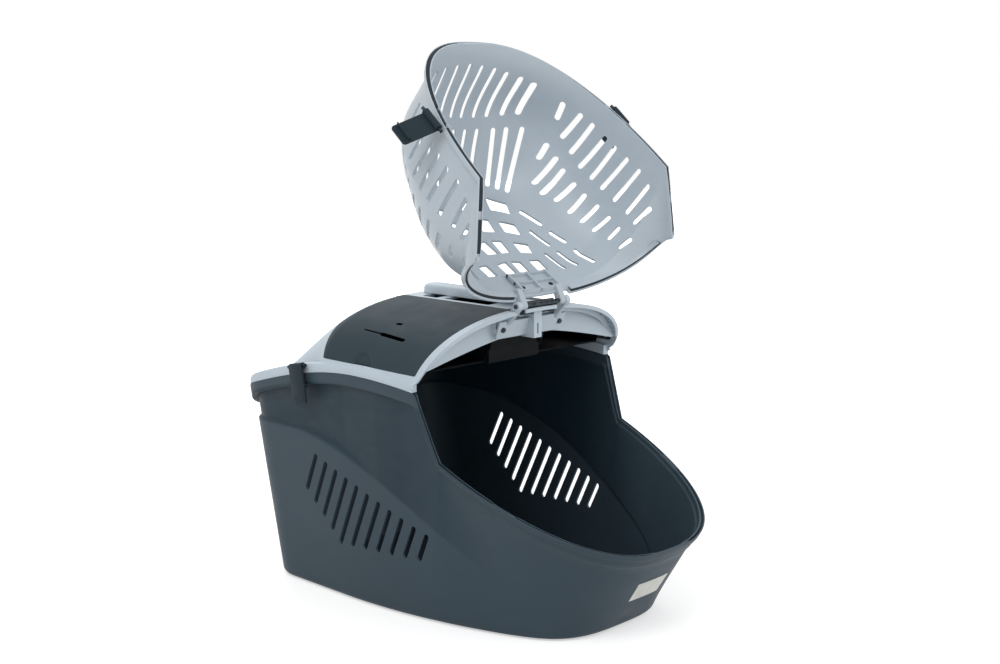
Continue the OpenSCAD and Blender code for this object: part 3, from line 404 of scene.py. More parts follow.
def make_tub(material):
    half = even_steps(240, 26)
    loop = np.r_[-half[::-1], half[1:]]
    rows = np.r_[np.linspace(0, 1, 5)[:-1], np.linspace(1, 2, 6)[:-1], np.linspace(2, 3, 56)[:-1],
                 np.linspace(3, 4, 6)[:-1], np.linspace(4, 5, 10)[:-1], np.linspace(5, 6, 7)[:-1],
                 np.linspace(6, 7, 5)[:-1], np.linspace(7, 8, 4)[:-1], np.linspace(8, 9, 5)[:-1], np.arange(9, 13.5)]
    u, v = np.meshgrid(loop, rows)
    u, v, faces = punch(u, v, tub_surface, vent_field, 2.8)
    body = shell(tub_surface(u, v).reshape(-1, 3), tub_surface(u, v, True).reshape(-1, 3), faces)
    feet = []
    a = np.linspace(0, 2 * np.pi, 33)[:-1]
    for x in (BASE_REAR_X + 40, BASE_FRONT_X - 40):
        for s in (-1, 1):
            y = s * (floor_y(x) - 34)
            feet.append(tube(np.stack([np.stack([
                x + 12 * np.sign(np.cos(a)) + r * np.cos(a), y + r * np.sin(a), z + 0 * a], -1)
                for r, z in ((5.2, 0.0), (6, 0.5), (7, FOOT_H + 0.8))])))
    points, faces = joined([body] + feet)
    return piece("tub_moulding", points, faces, "tub_and_cover", material, "tub")


STICKER_U, STICKER_Z = (-0.5, 1.1), (40.0, 63.0)


def make_sticker(material):
    """A paper rectangle, laid on the front of the tub over a range of u and height."""
    u, v = np.meshgrid(np.linspace(0, 1, 41), np.linspace(0, 1, 17))
    bend = 0.25 * np.sin(np.pi * clamp((u - 0.9) * 10)) * v
    place = lambda lift: wall_point(mix(STICKER_U[0], STICKER_U[1], u), mix(STICKER_Z[0], STICKER_Z[1], v), lift + bend)
    points, faces = shell(place(0.32).reshape(-1, 3), place(0.12).reshape(-1, 3), [grid_faces(*u.shape)])
    return piece("sticker_paper", points, faces, "tub_and_cover", material, "sticker")


# ---- cover ----------------------------------------------------------------------------------
def side_y(x):
    t = clamp((CORNER_X - x) / REAR_CORNER)
    return HALF_W - REAR_CORNER + REAR_CORNER * (1 - t ** 2.3) ** (1 / 2.3)


def rear_share(x):
    """How far x lies along the dome's fall to the rear, from 0 to 1."""
    return clamp((DOME_BACK_X - x) / (DOME_BACK_X - REAR_X))


def crest_at(x):
    return mix(REAR_Z + FLANGE_H, CREST_Z, (1 - rear_share(x) ** 1.43) ** 1.08)


def arch_reach(h):
    """How far the arch's front edge leans forward at share h of its height, from just above the lid's foot."""
    return ARCH_REACH * clamp((h - 0.05) / 0.95) ** ARCH_LIFT


def arch_front_x(y):
    share = (1 - clamp(np.abs(y) / HALF_W) ** ARCH_POWER) ** (1 / ARCH_POWER)
    return FOOT_X + ARCH_REACH * share ** ARCH_LIFT


def dome(s, a, d=0.0):
    """The cover: superellipse arches over the length s, whose front leans forward to the arch; a is the angle round the
    arch in degrees from the +Y foot, d the depth below the surface. To the rear the arches draw in from the rim and
    grow pointed, and angles past 0 and 180 are the shelf that this leaves."""
    share = rear_share(s)
    arc, shelf = np.radians(np.clip(a, 0, 180)), clamp(np.maximum(-a, a - 180) / SHELF)
    p = 2 / mix(ARCH_POWER, REAR_POWER, share)
    c, h = spow(np.cos(arc), p), np.abs(np.sin(arc)) ** p
    inset = 0.6 + 3.4 * clamp((FOOT_X - 20 - s) / 60)
    w, draw = side_y(s) - inset - d, REAR_DRAW * share
    zb = rim_z(s) + SEAT_GAP + 5 - d * clamp(draw / 10)
    lean = clamp((s - (FOOT_X - 22)) / 22)
    return np.stack([s + lean * arch_reach(h), (w - draw) * c + draw * shelf * np.sign(90 - a),
                     zb + (crest_at(s) - d - zb) * h - 0.3 * shelf], -1)


SHELF = 12.0


def bin_field(p):
    """Distance from the edge of the storage bins' openings: the spine, the low edge, the rear curve and the front
    band."""
    x, y, z = p[..., 0], np.abs(p[..., 1]), p[..., 2]
    rear = BIN_REAR_X - 25 * np.sin(np.radians(150 * clamp((HALF_W - y) / (HALF_W - SPINE_HALF_W))))
    return np.maximum(np.maximum(SPINE_HALF_W - y, BIN_LOW_Z - z),
                      np.maximum(rear - x, (x - arch_front_x(y) + BIN_BAND) * 0.8))


def well_field(p):
    """Distance from the two wells under the grip and from the notch for the hinge."""
    x, y = p[..., 0], np.abs(p[..., 1])
    post = KNEE_X - 126
    rear, front = GRIP_X - GRIP_LEN / 2 + 22, GRIP_X + GRIP_LEN / 2 - 22
    wells = np.minimum(*(np.abs(x - (x1 + x0) / 2) - (x1 - x0) / 2 for x0, x1 in ((rear, post - 6), (post + 6, front))))
    notch = np.maximum(HINGE_X - 20 - x, y - 43.5)
    return np.where(p[..., 2] > 300, np.minimum(np.maximum(wells, y - SPINE_HALF_W + 6), notch), 99.0)


def cover_field(p):
    return np.minimum(bin_field(p), well_field(p))


def arc_angles(count):
    """Angles round the arch, evenly spaced along it, from a little below its feet's seat."""
    a = np.linspace(0, 90, 2001)
    p = dome(np.full_like(a, FOOT_X - 40), a)
    s = np.r_[0, np.cumsum(np.hypot(np.diff(p[:, 1]), np.diff(p[:, 2])))]
    half = np.interp(np.linspace(0, s[-1], count // 2 + 1), s, a)
    return np.r_[half, 180 - half[-2::-1]]


def dome_grid():
    s = np.r_[REAR_X + 1 + 30 * np.linspace(0, 1, 16)[:-1] ** 1.8, np.linspace(REAR_X + 31, FOOT_X - 22, 118)[:-1],
              np.linspace(FOOT_X - 22, FOOT_X, 20)]
    shelf = np.linspace(SHELF, 0, 7)[:-1]
    return np.meshgrid(s, np.r_[-shelf, arc_angles(216), 180 + shelf[::-1]], indexing="ij")


def flange_points(u, shape):
    """The cover's band on the tub's rim: a section shape, a list of (offset in from the rim, height above it), carried
    round it."""
    x, y = rim_half(np.abs(u))
    nx, ny = rim_normal(np.abs(u))
    z = rim_z(x)
    return np.stack([np.stack([x - d * nx, np.sign(u) * (y - d * ny), z + h], -1) for d, h in shape], 1)


def arch_curve(a):
    """How far across the arch an angle in degrees lies, from -1 to 1, and how far up it, from 0 to 1."""
    a = np.radians(a)
    return spow(np.cos(a), 2 / ARCH_POWER), np.abs(np.sin(a)) ** (2 / ARCH_POWER)


def arch_sweep(a, section):
    """A section of (x behind the arch's front edge, depth under its surface) carried round the arch."""
    c, h = arch_curve(a)
    rings = []
    for dx, d in section:
        w, zb, zc = HALF_W - 0.6 - d, FOOT_Z + SEAT_GAP + 5, CREST_Z - d
        rings.append(np.stack([FOOT_X + arch_reach(h) + dx, w * c, zb + (zc - zb) * h], -1))
    return np.stack(rings, 1)


def box(x0, x1, y0, y1, z0, z1):
    """A box as a tube of two rings."""
    ring = np.array([[y0, z0], [y1, z0], [y1, z1], [y0, z1]])
    return tube(np.stack([np.column_stack([np.full(4, x), ring]) for x in (x0, x1)]))


def bulkhead():
    """The wall under the arch: up to the arch's inner side, down to a shallow bow, with a hollow post at the middle
    and two round screw bosses."""
    arc = arc_angles(150)
    top = arch_sweep(arc, [(0, 2.0)])[:, 0]
    low = CREST_Z - 35 - 21 * clamp((np.abs(top[:, 1]) - 42) / 110) ** 1.2
    top, low = top[top[:, 2] > low + 1], low[top[:, 2] > low + 1]
    y = top[:, 1]
    rings = np.stack([np.stack([np.full_like(y, x), y, z], -1) for x, z in (
        (BULK_X, low), (BULK_X, top[:, 2]), (BULK_X - WALL, top[:, 2]), (BULK_X - WALL, low))], 1)
    parts = [tube(rings)]
    a = circle(32)
    for s in (-1, 1):
        rings = [np.stack([BULK_X + x + 0 * a, s * BOSS_Y + r * np.cos(a), CREST_Z - 22.5 + r * np.sin(a)], -1)
                 for x, r in ((-1, BOSS_R), (5.4, BOSS_R), (6, BOSS_R - 0.6), (6, 3.0), (5.6, 2.6), (1, 2.4))]
        parts.append(tube(np.stack(rings)))
        parts.append(box(BULK_X - 1, BULK_X + 6, s * BOSS_Y - BOSS_R, s * BOSS_Y + BOSS_R, CREST_Z - 22, CREST_Z - 7))
        parts.append(box(BULK_X - 1, ARCH_TOP_X - 6, s * 3.9 - 2.5, s * 3.9 + 2.5, CREST_Z - 36, CREST_Z - 5))
    for z0, z1 in ((CREST_Z - 36, CREST_Z - 31.5), (CREST_Z - 19.5, CREST_Z - 5)):
        parts.append(box(BULK_X - 1, ARCH_TOP_X - 6.2, -2, 2, z0, z1))
    return parts


def make_cover(material):
    s, a = dome_grid()
    s, a, faces = punch(s, a, dome, cover_field, 3.2)
    skin = shell(dome(s, a).reshape(-1, 3), dome(s, a, WALL).reshape(-1, 3), [f[:, ::-1] for f in faces])
    u = even_steps(240, 26)
    u = u[u >= 12]
    band = [(0.6, 0.3), (0.4, 0.7), (0.4, 6.0), (0.9, 8.2), (2.2, 10.2), (4.2, 11.5), (6.5, 11.9), (8.5, 11.9),
            (8.5, 0.3)]
    loop = np.r_[-u[:-1], u[::-1]]
    parts = [skin, tube(flange_points(loop, band))]
    arc = arc_angles(150)
    lip = [(-2.2, 0.3), (-0.3, 0.3), (0, 0.6), (0, 4.4), (-0.4, 4.8), (-2.2, 4.8)]
    heel = [(-13.0, 1.8), (-11.4, 1.8), (-11.4, 9.4), (-11.8, 9.8), (-13.0, 9.8)]
    y = arch_sweep(arc, [(0, 2.0)])[:, 0, 1]
    for low, high in ((-160, -37.5), (-26.5, 26.5), (37.5, 160)):
        run = arc[(y > low) & (y < high) & (arc > 7) & (arc < 173)]
        parts += [tube(arch_sweep(run, lip)), tube(arch_sweep(run, heel))]
    for k in range(1, 26):
        t = 180 * k / 26
        if 10 < t < 170 and abs(t - 90) > 13:
            top, foot = arch_sweep(np.array([t, t]), [(0, 1.8), (0, 4.4)])[0]
            along = (foot - top)[1:] / np.linalg.norm((foot - top)[1:])
            across = np.array([0, -along[1], along[0]]) * 0.7
            q = np.stack([top + across, top - across, foot - across, foot + across])
            parts.append(tube(np.stack([q + [dx, 0, 0] for dx in (-11.8, -1.5)])))
    parts += bulkhead()
    points, faces = joined(parts)
    return piece("cover_moulding", points, faces, "tub_and_cover", material, "cover_frame")


def bin_lid_surface(s, a, d=0.0):
    """The dome with a finger recess, a half ellipse at the low edge whose sides are steep."""
    x, _, z = np.moveaxis(dome(s, a), -1, 0)
    dent = 3.2 * ease((1 - ((x - KNEE_X + 114) / 15) ** 2 - ((z - BIN_LOW_Z) / 16) ** 2) / 0.45)
    return dome(s, a, d + dent)


def bin_lid_field(p):
    """Distance from the lid's outline, and from its two slits, seen along Y."""
    q = p[..., [0, 2]]
    slits = np.minimum(np.minimum(bar_distance(q, (KNEE_X - 139, 319.4), (KNEE_X - 104, 318), 0.6),
                                  bar_distance(q, (KNEE_X - 108, 318), (KNEE_X - 67, 315.8), 1.5)),
                       bar_distance(q, (KNEE_X - 103, 328), (KNEE_X - 94, 328), 0.9))
    return np.maximum(bin_field(p) + BIN_GAP, np.where(p[..., 1] > 60, -slits, -99.0))


def make_bin_lid(side, material):
    s, a = dome_grid()
    half = a[0] <= 90
    s, a = s[:, half], a[:, half]
    s, a, faces = punch(s, a, bin_lid_surface, bin_lid_field, 3.2, inside=True)
    points, faces = shell(bin_lid_surface(s, a).reshape(-1, 3), bin_lid_surface(s, a, 1.9).reshape(-1, 3), faces)
    used = np.unique(np.concatenate([f.ravel() for f in faces]))
    remap = np.full(len(points), -1)
    remap[used] = np.arange(len(used))
    points, faces = points[used], [remap[f] for f in faces]
    if side < 0:
        points, faces = points * [1, -1, 1], [f[:, ::-1] for f in faces]
    tag = "left" if side > 0 else "right"
    return piece("bin_lid_panel_" + tag, points, faces, "bin_lid_" + tag, material, "bin_lid_" + tag)


# ---- grip -----------------------------------------------------------------------------------
def make_grip(material):
    """A pill in plan whose upper edges are rounded in section."""
    a = circle(96)
    z0 = CREST_Z + SEAT_GAP
    rings = []
    for inset, h in ((0.6, 0), (0, 0.8), (0, 5.5), (0.7, 7.8), (2.2, 9.6), (4.4, 10.7), (7, 11), (11, 11.15)):
        r = GRIP_W / 2 - inset
        x = GRIP_X + np.sign(np.cos(a)) * (GRIP_LEN / 2 - GRIP_W / 2) + r * np.cos(a)
        rings.append(np.stack([x, r * np.sin(a), z0 + h + 0 * a], -1))
    points, faces = tube(np.stack(rings))
    return piece("grip_moulding", points, faces, "tub_and_cover", material, "grip")


# ---- front lid ------------------------------------------------------------------------------
def lid_surface(u, v, inner=False):
    """The closed lid: rows 0-1 are its grooved rim, and rows 1-2 run up superellipse meridians from the rim to
    the crest line, through a squarer plan that is fullest at LID_FULL_AT of the height; then it swings open."""
    d = WALL if inner else 0.0
    w, side = np.abs(u), np.sign(u)
    xr, yr = rim_half(w)
    nx, ny = rim_normal(w)
    turn = np.radians(9 * np.minimum(w, 10))
    back = clamp((KNEE_X + 30 - xr) / (30 + FOOT_RUN))
    run = CREST_RUN * clamp((xr - FOOT_X) / (FRONT_X - FOOT_X))
    xc, zc, zr = TOP_X + LID_GAP + run, CREST_Z - d - LID_FALL * run, rim_z(xr) + SEAT_GAP
    cos = np.where(w >= 10, 0.0, np.abs(np.cos(turn)))
    full_x = np.where(w >= 10, xr, KNEE_X + (LID_REACH - d) * cos ** (2 / LID_PLAN))
    full_y = (LID_HALF_W - d) * np.abs(np.sin(turn)) ** (2 / LID_PLAN)
    n = mix(SIDE_POWER, FACE_POWER, cos ** 2)
    n = n + (CORNER_POWER - (SIDE_POWER + FACE_POWER) / 2) * np.sin(2 * turn) ** 2 * (w < 10)
    n = mix(n, ARCH_POWER, back)
    a = np.radians(lid_angle(clamp(v - 1)))
    c, h = np.abs(np.cos(a)) ** (2 / n), np.abs(np.sin(a)) ** (2 / n)
    full = ease(h / LID_FULL_AT) * (1 - back)
    out = lid_rim_out(v, inner)
    x0, y0 = xr - (LIP_OUT + d - out) * nx, yr - (LIP_OUT + d - out) * ny
    x_dome = mix(xc, mix(x0, full_x, full), c)
    x_arch = x0 + LID_GAP * clamp(v) + (xc - LID_GAP - x0) * h ** ARCH_LIFT
    z = np.where(v <= 1, zr + lid_rim_z(v, inner), zr + LID_RIM + (zc - zr - LID_RIM) * h)
    return swing(np.stack([mix(x_dome, x_arch, back), side * mix(y0, full_y, full) * c, z], -1))


LID_RIM = 6.6
RIM_ROWS = np.linspace(0, 1, 9)
# Offset out from the wall and height over the rim, row by row, of the outer and the inner side: between them
# is the groove in the rim's underside
OUTER_RIM = np.array([(3.0, 4.8), (3.0, 0.4), (3.2, 0.0), (3.7, 0.0), (4.0, 0.3), (4.0, 5.4), (3.5, 6.0), (0.4, 6.2),
                      (0.0, 6.6)])
INNER_RIM = np.array([(1.2, 4.8), (1.2, 0.4), (1.0, 0.0), (0.3, 0.0), (0.0, 0.3), (0.0, 1.5), (0.0, 3.0), (0.0, 4.5),
                      (0.0, 6.6)])


def lid_rim_out(v, inner):
    return np.interp(np.minimum(v, 1), RIM_ROWS, (INNER_RIM if inner else OUTER_RIM)[:, 0])


def lid_rim_z(v, inner):
    return np.interp(v, RIM_ROWS, (INNER_RIM if inner else OUTER_RIM)[:, 1])


def lid_angle(t):
    """Meridian angle for an even spacing along a superellipse."""
    power = 3.4
    a = np.linspace(0, 90, 2001)
    c, h = np.cos(np.radians(a)) ** (2 / power), np.sin(np.radians(a)) ** (2 / power)
    s = np.r_[0, np.cumsum(np.hypot(np.diff(120 * c), np.diff(200 * h)))]
    return np.interp(t, s / s[-1], a)


def bars(starts, ends, r=3.2):
    return [(p, q, r) for p, q in zip(starts, ends)]


def lid_slots():
    """The slots by the axes they are seen along: the face's two fanned rows along X, their last ones along the
    diagonal of X and Y, the sides' two rows along Y, and the crown's narrow slots and slanted wide ones along Z. All
    are laid out on +Y and mirrored."""
    face = bars([(0, 133), (20, 134.5), (40, 137), (57.5, 140.5), (75.5, 144), (90, 148)],
                [(0, 197.5), (17, 197.5), (36.5, 197), (55.5, 195.5), (74.5, 191.5), (90.5, 187)])
    face += bars([(9, 217), (27.5, 217), (46, 216)], [(8.5, 278), (26, 278), (43.5, 277.5)])
    corner = bars([(-147.5, 213.5), (-132, 210.5), (-113, 206.5)], [(-140.5, 276.5), (-128, 277), (-115.5, 277)])
    sides = bars([(220, 163), (198.5, 170), (182.5, 177), (164, 187), (149, 194), (129.5, 202), (109.5, 209),
                  (91.5, 222), (80.5, 246)],
                 [(225, 181), (216, 202), (202, 217), (186.5, 230), (168.5, 238), (151, 244.5), (129.5, 252),
                  (106.5, 259), (91, 266)])
    sides += bars([(230, 218), (215.5, 230.5), (203, 241.5), (185.5, 253), (168.5, 261.5), (148, 268), (127.5, 274.5),
                   (108.5, 281.5), (87, 287)],
                  [(231, 233.5), (221, 261.5), (208, 270.5), (192.5, 274), (173, 282.5), (155, 288), (136.5, 292.5),
                   (112.5, 293.5), (91.5, 296.5)])
    narrow = bars([(209, 75), (184, 72), (172, 94), (150, 68), (146, 85), (137, 104)],
                  [(186, 89), (160, 82), (153, 102), (121, 73), (118, 90), (107, 106)], 2.2)
    wide = [((252, 54), (227, 67), (213, 63), (233, 48)), ((258, 30), (243, 41), (232, 36), (247, 12)),
            ((228, 24), (221, 34), (198, 27), (200, 6)), ((214, 43), (200, 59), (184, 58), (195, 39)),
            ((184, 5), (183, 22), (162, 19), (160, 2.5)), ((179, 37), (171, 56), (156, 53), (160, 35)),
            ((147, 4), (145, 20), (126, 19), (127, 3)), ((147, 35), (145, 51), (126, 50), (127, 34))]
    return face, corner, sides, narrow, wide


def quad_distance(q, corners):
    """Signed distance of points q from a convex quadrilateral, as the greatest of those from its four sides."""
    c = np.array(corners, float)
    turn = np.sign(np.cross(c[1] - c[0], c[2] - c[1]))
    best = np.full(q.shape[:-1], -99.0)
    for p0, p1 in zip(c, np.roll(c, -1, 0)):
        n = turn * np.array([p1[1] - p0[1], p0[0] - p1[0]]) / np.linalg.norm(p1 - p0)
        best = np.maximum(best, (q - p0) @ n)
    return best


def lid_field(p):
    """Distance from the lid's slots and from the notch for the hinge block."""
    p = swing(p, -LID_OPEN)
    x, y, z = p[..., 0], np.abs(p[..., 1]), p[..., 2]
    face, corner, sides, narrow, wide = LID_SLOTS
    best = np.full(x.shape, 99.0)
    for q, zone, slots in ((np.stack([y, z], -1), (x > KNEE_X + 90) & (z < 288), face),
                           (np.stack([(y - x) / math.sqrt(2), z], -1), (x > KNEE_X + 90) & (z < 288), corner),
                           (np.stack([x, z], -1), y > 50, sides), (np.stack([x, y], -1), z > 270, narrow)):
        b = best[zone]
        for s0, s1, r in slots:
            b = np.minimum(b, bar_distance(q[zone], s0, s1, r))
        best[zone] = b
    best = np.where(z > 330, np.minimum(best, np.maximum(y - 45, x - HINGE_X - 6.2)), best)
    zone = z > 270
    q, b = np.stack([x, y], -1)[zone], best[zone]
    for corners in wide:
        b = np.minimum(b, quad_distance(q, corners))
    best[zone] = b
    return best


LID_SLOTS = lid_slots()


def make_lid(material):
    half = even_steps(132, 12)
    loop = np.r_[-half[::-1], half[1:]]
    rows = np.r_[RIM_ROWS[:-1], 1 + np.linspace(0, 1, 120)]
    u, v = np.meshgrid(loop, rows)
    u, v, faces = punch(u, v, lid_surface, lid_field, 3.4)
    points, faces = shell(lid_surface(u, v).reshape(-1, 3), lid_surface(u, v, True).reshape(-1, 3), faces)
    return piece("front_lid_moulding", points, faces, "front_lid", material, "front_lid")


def lid_arch_sweep(a, section):
    """A section of (distance in from the lid's arch edge, depth under its surface) carried along that edge."""
    c, h = arch_curve(a)
    rings = []
    for dx, d in section:
        d = d + LID_FALL * dx
        zb = FOOT_Z + SEAT_GAP + LID_RIM
        rings.append(np.stack([FOOT_X + LID_GAP + ARCH_REACH * h ** ARCH_LIFT + dx, (HALF_W - 5 - d) * c,
                               zb + (CREST_Z - d - zb) * h], -1))
    return swing(np.stack(rings, 1))


def lid_arcs():
    """The two runs of the lid's arch edge, on either side of the hinge."""
    arc = arc_angles(150)
    return arc[(arc > 3) & (arc < 76)], arc[(arc > 104) & (arc < 177)]


def make_lid_arch_edge(material):
    """The channel along the lid's arch edge."""
    channel = [(0.2, 0.3), (0.2, 1.1), (4.6, 1.1), (4.6, 6.0), (0.2, 6.0), (0.2, 6.8), (5.8, 6.8), (5.8, 0.3)]
    points, faces = joined([tube(lid_arch_sweep(run, channel)) for run in lid_arcs()])
    return piece("lid_arch_channel", points, faces, "front_lid", material)


def make_lid_groove_shade(material):
    """Painted shade: the dark strip in the rim's groove, in runs between the front notch, the clips and the pegs near
    the feet, and the one in the arch edge's channel, darkening the groove and the channel as painted shade."""
    u = even_steps(400, 12)
    x, _ = rim_half(u)
    parts = []
    for x0, x1 in ((FOOT_X + 2, FOOT_X + 14), (FOOT_X + 17, CLIP_X - 15), (CLIP_X + 15, FRONT_X - 1)):
        run = u[(x >= x0) & (x <= x1)]
        for side in (1, -1):
            strip = [(1.3, 1.0), (5.2, 1.0), (5.2, 4.7), (1.3, 4.7)]
            parts.append(tube(swing(flange_points(side * run[::side], strip))))
    for run in lid_arcs():
        parts.append(tube(lid_arch_sweep(run, [(0.1, 1.1), (4.6, 1.1), (4.6, 6.0), (0.1, 6.0)])))
    points, faces = joined(parts)
    return piece("lid_rim_groove_shade", points, faces, "front_lid", material)


def crown_z(x, y):
    """Height of the closed lid's inner surface near its crest, as a quadratic in x and y fitted to it."""
    u, v = np.meshgrid(np.linspace(0, 12, 121), np.linspace(1.6, 2, 60))
    p = swing(lid_surface(u, v, True), -LID_OPEN).reshape(-1, 3)
    p = p[(p[:, 0] > 84) & (p[:, 0] < 130) & (p[:, 1] < 42)]
    terms = lambda x, y: np.stack([1 + 0 * x, x, x * x, y * y, x * y * y], -1)
    fit = np.linalg.lstsq(terms(p[:, 0], p[:, 1]), p[:, 2], rcond=None)[0]
    return terms(x, y) @ fit


def make_lid_bracket(material):
    """The hinge plate inside the lid's crown: a thin plate that follows it, ribs along and across it, and two arms that
    reach round the pin."""
    x, y = np.meshgrid(np.linspace(HINGE_X + 9, HINGE_X + 38, 12), np.linspace(-27, 37, 25))
    z = crown_z(x, y) - 0.3
    parts = [shell(np.stack([x, y, z], -1).reshape(-1, 3), np.stack([x, y, z - 1.2], -1).reshape(-1, 3),
                   [grid_faces(*x.shape)])]

    def rib(x, y, deep):
        ends = np.array([x[-1] - x[0], y[-1] - y[0]]) / np.hypot(x[-1] - x[0], y[-1] - y[0])
        z = crown_z(x, y)
        parts.append(tube(np.stack([np.stack([x - k * ends[1], y + k * ends[0], z - h], -1) for k, h in (
            (-1.4, 1.2), (-1.4, deep), (1.4, deep), (1.4, 1.2))], 1)))
    for y0 in (-25.6, 5, 35.6):
        rib(np.linspace(HINGE_X + 9, HINGE_X + 38, 8), np.full(8, y0), 5.4)
    for x0 in (10.4, 23, 36.6):
        rib(np.full(24, HINGE_X + x0), np.linspace(-27, 37, 24), 4.6)
    a = np.radians(np.linspace(35, 235, 21))
    arm = np.concatenate([np.stack([HINGE_X + 4.6 * np.cos(a), HINGE_Z + 4.6 * np.sin(a)], -1),
                          [[HINGE_X + 9, 334.5], [HINGE_X + 13, 334.5], [HINGE_X + 14, 338.5]]])
    for s in (-1, 1):
        parts.append(tube(np.stack([np.column_stack([arm[:, 0], np.full(len(arm), s * w), arm[:, 1]])
                                    for w in ((28, 36) if s > 0 else (36, 28))])))
    points, faces = joined(parts)
    return piece("lid_hinge_plate", swing(points), faces, "front_lid", material, "lid_hinge_bracket")


def make_hinge_rail(material):
    """The dark strip on the cover behind the hinge pin."""
    ring = np.array([[-27, 338], [27, 338], [27, 352.5], [-27, 352.5]])
    points, faces = tube(np.stack([np.column_stack([np.full(4, HINGE_X + x), ring]) for x in (-8.5, -6.5)]))
    return piece("hinge_rail", points, faces, "tub_and_cover", material)


def make_bracket_screws(material):
    """Two pan heads on the hinge plate."""
    a = circle(24)
    parts = []
    for y0 in (-18.0, 28.0):
        z = crown_z(np.array([HINGE_X + 17]), np.array([y0]))[0] - 1.5
        parts.append(tube(np.stack([np.stack([HINGE_X + 17 + r * np.cos(a), y0 + r * np.sin(a), z - h + 0 * a], -1)
                                    for r, h in ((2.8, 0), (2.8, 0.7), (2.3, 1.3), (1.2, 1.7), (0.9, 1.2))])))
    points, faces = joined(parts)
    return piece("bracket_screw_heads", swing(points), faces, "front_lid", material, "bracket_screws")


# ---- clips ----------------------------------------------------------------------------------
CLIP_T = 2.8
EDGE_SLOPE = math.degrees(math.atan((KNEE_Z - FRONT_Z) / NOSE_LEN))


def clip_parts(w, l, r, hook_at, hook_in):
    """A clip hanging from the origin along -Z: a barrel along X, a plate whose outline is a rectangle with round lower
    corners, stepped in at its edges, a ridge to pull it by and a hook on its inner face."""
    a = circle(32)
    barrel = tube(np.stack([np.stack([x + 0 * a, k * np.cos(a), k * np.sin(a)], -1) for x, k in (
        (-w / 2, r - 0.5), (-w / 2 + 0.5, r), (w / 2 - 0.5, r), (w / 2, r - 0.5))]))

    def outline(inset, foot):
        q = np.radians(np.linspace(180, 360, 21))
        k = 4.0 - inset
        x = np.sign(np.cos(q) + 1e-9 * (q - 4.7)) * (w / 2 - 4) + k * np.cos(q)
        z = -foot + 4 + k * np.sin(q)
        return np.concatenate([np.stack([x, z], -1), [[w / 2 - inset, 1.5], [-w / 2 + inset, 1.5]]])
    plate = tube(np.stack([np.insert(outline(i, l), 1, y, 1) for i, y in (
        (0.5, r - CLIP_T), (0, r - CLIP_T + 0.5), (0, r - 0.7), (0.3, r - 0.2), (0.8, r))]))
    ridge = tube(np.stack([np.insert(np.array([[-w / 2 + i, -l + 5], [w / 2 - i, -l + 5], [w / 2 - i, -l + 8], [
        -w / 2 + i, -l + 8]]), 1, y, 1) for i, y in ((4, r - 0.2), (4.4, r + 0.5))]))
    root, tip = r - CLIP_T + 0.1, r - CLIP_T - hook_in
    hook = tube(np.stack([np.array([[x, root, -hook_at - 2.6], [x, root, -hook_at + 1.4],
                                    [x, tip, -hook_at - 1.0], [x, tip, -hook_at - 2.2]])
                          for x in (-w / 2 + 2, w / 2 - 2)]))
    return joined([barrel, plate, ridge, hook])


def make_clip(name, side, shape, angle, slope, origin, body, material, on_lid):
    """The clip turned by its rest angle about X and by the edge's slope about Y, then moved to its pivot."""
    points, faces = shape
    x, y, z = points[:, 0], points[:, 1] * side, points[:, 2]
    a, b = math.radians(side * angle), math.radians(slope)
    y, z = y * math.cos(a) - z * math.sin(a), y * math.sin(a) + z * math.cos(a)
    x, z = x * math.cos(b) + z * math.sin(b), z * math.cos(b) - x * math.sin(b)
    p = np.stack([x + origin[0], y + side * origin[1], z + origin[2]], -1)
    if side < 0:
        faces = [f[:, ::-1] for f in faces]
    piece(name + "_moulding", swing(p) if on_lid else p, faces, body, material, name)


def make_clips(material):
    nose_y = KNEE_HALF_W * (1 - ((CLIP_X - 13.5 - KNEE_X) / NOSE_LEN) ** 2.05) ** (1 / 2.575)
    front = clip_parts(27, 42, 4.2, 33, 5)
    origin = (CLIP_X, nose_y + 4.8, float(rim_z(CLIP_X)) + SEAT_GAP + 4)
    hasp = clip_parts(24, 44, 3.8, FLANGE_H + BAND_H - 1.6, 5.4)
    foot = (KNEE_X - 220, HALF_W + 4.2, float(rim_z(KNEE_X - 220.0)) + SEAT_GAP + FLANGE_H - 3)
    for side, tag, angle in ((1, "left", 168), (-1, "right", 118)):
        make_clip("front_clip_" + tag, side, front, angle, EDGE_SLOPE, origin, "front_clip_" + tag, material, True)
        make_clip("cover_clip_" + tag, side, hasp, 0, -11, foot, "cover_clip_" + tag, material, False)


def make_clip_seats(material):
    """A short round bar that fills the lid's rim groove beside each front clip."""
    u = even_steps(400, 12)
    x, _ = rim_half(u)
    run = u[np.abs(x - CLIP_X) < 10]
    a = circle(16)
    ring = [(3.2 + 2.6 * math.cos(k), 3.2 + 2.6 * math.sin(k)) for k in a]
    points, faces = joined([tube(swing(flange_points(s * run[::s], ring))) for s in (1, -1)])
    return piece("front_clip_seats", points, faces, "front_lid", material)


# ---- materials ------------------------------------------------------------------------------
def new_group(name, inputs, outputs):
    """An empty shader node group; inputs as (name, kind, default), outputs as (name, kind)."""
    tree = bpy.data.node_groups.new(name, "ShaderNodeTree")
    kinds = {"value": "NodeSocketFloat", "colour": "NodeSocketColor", "vector": "NodeSocketVector"}
    for label, kind, default in inputs:
        socket = tree.interface.new_socket(label, in_out="INPUT", socket_type=kinds[kind])
        if default is not None:
            socket.default_value = default
    for label, kind in outputs:
        tree.interface.new_socket(label, in_out="OUTPUT", socket_type=kinds[kind])
    return tree, tree.nodes.new("NodeGroupInput"), tree.nodes.new("NodeGroupOutput")


def feed(tree, socket, value):
    """Links a node's output to a socket, or sets the socket to a plain value."""
    if isinstance(value, bpy.types.NodeSocket):
        tree.links.new(value, socket)
    else:
        socket.default_value = value


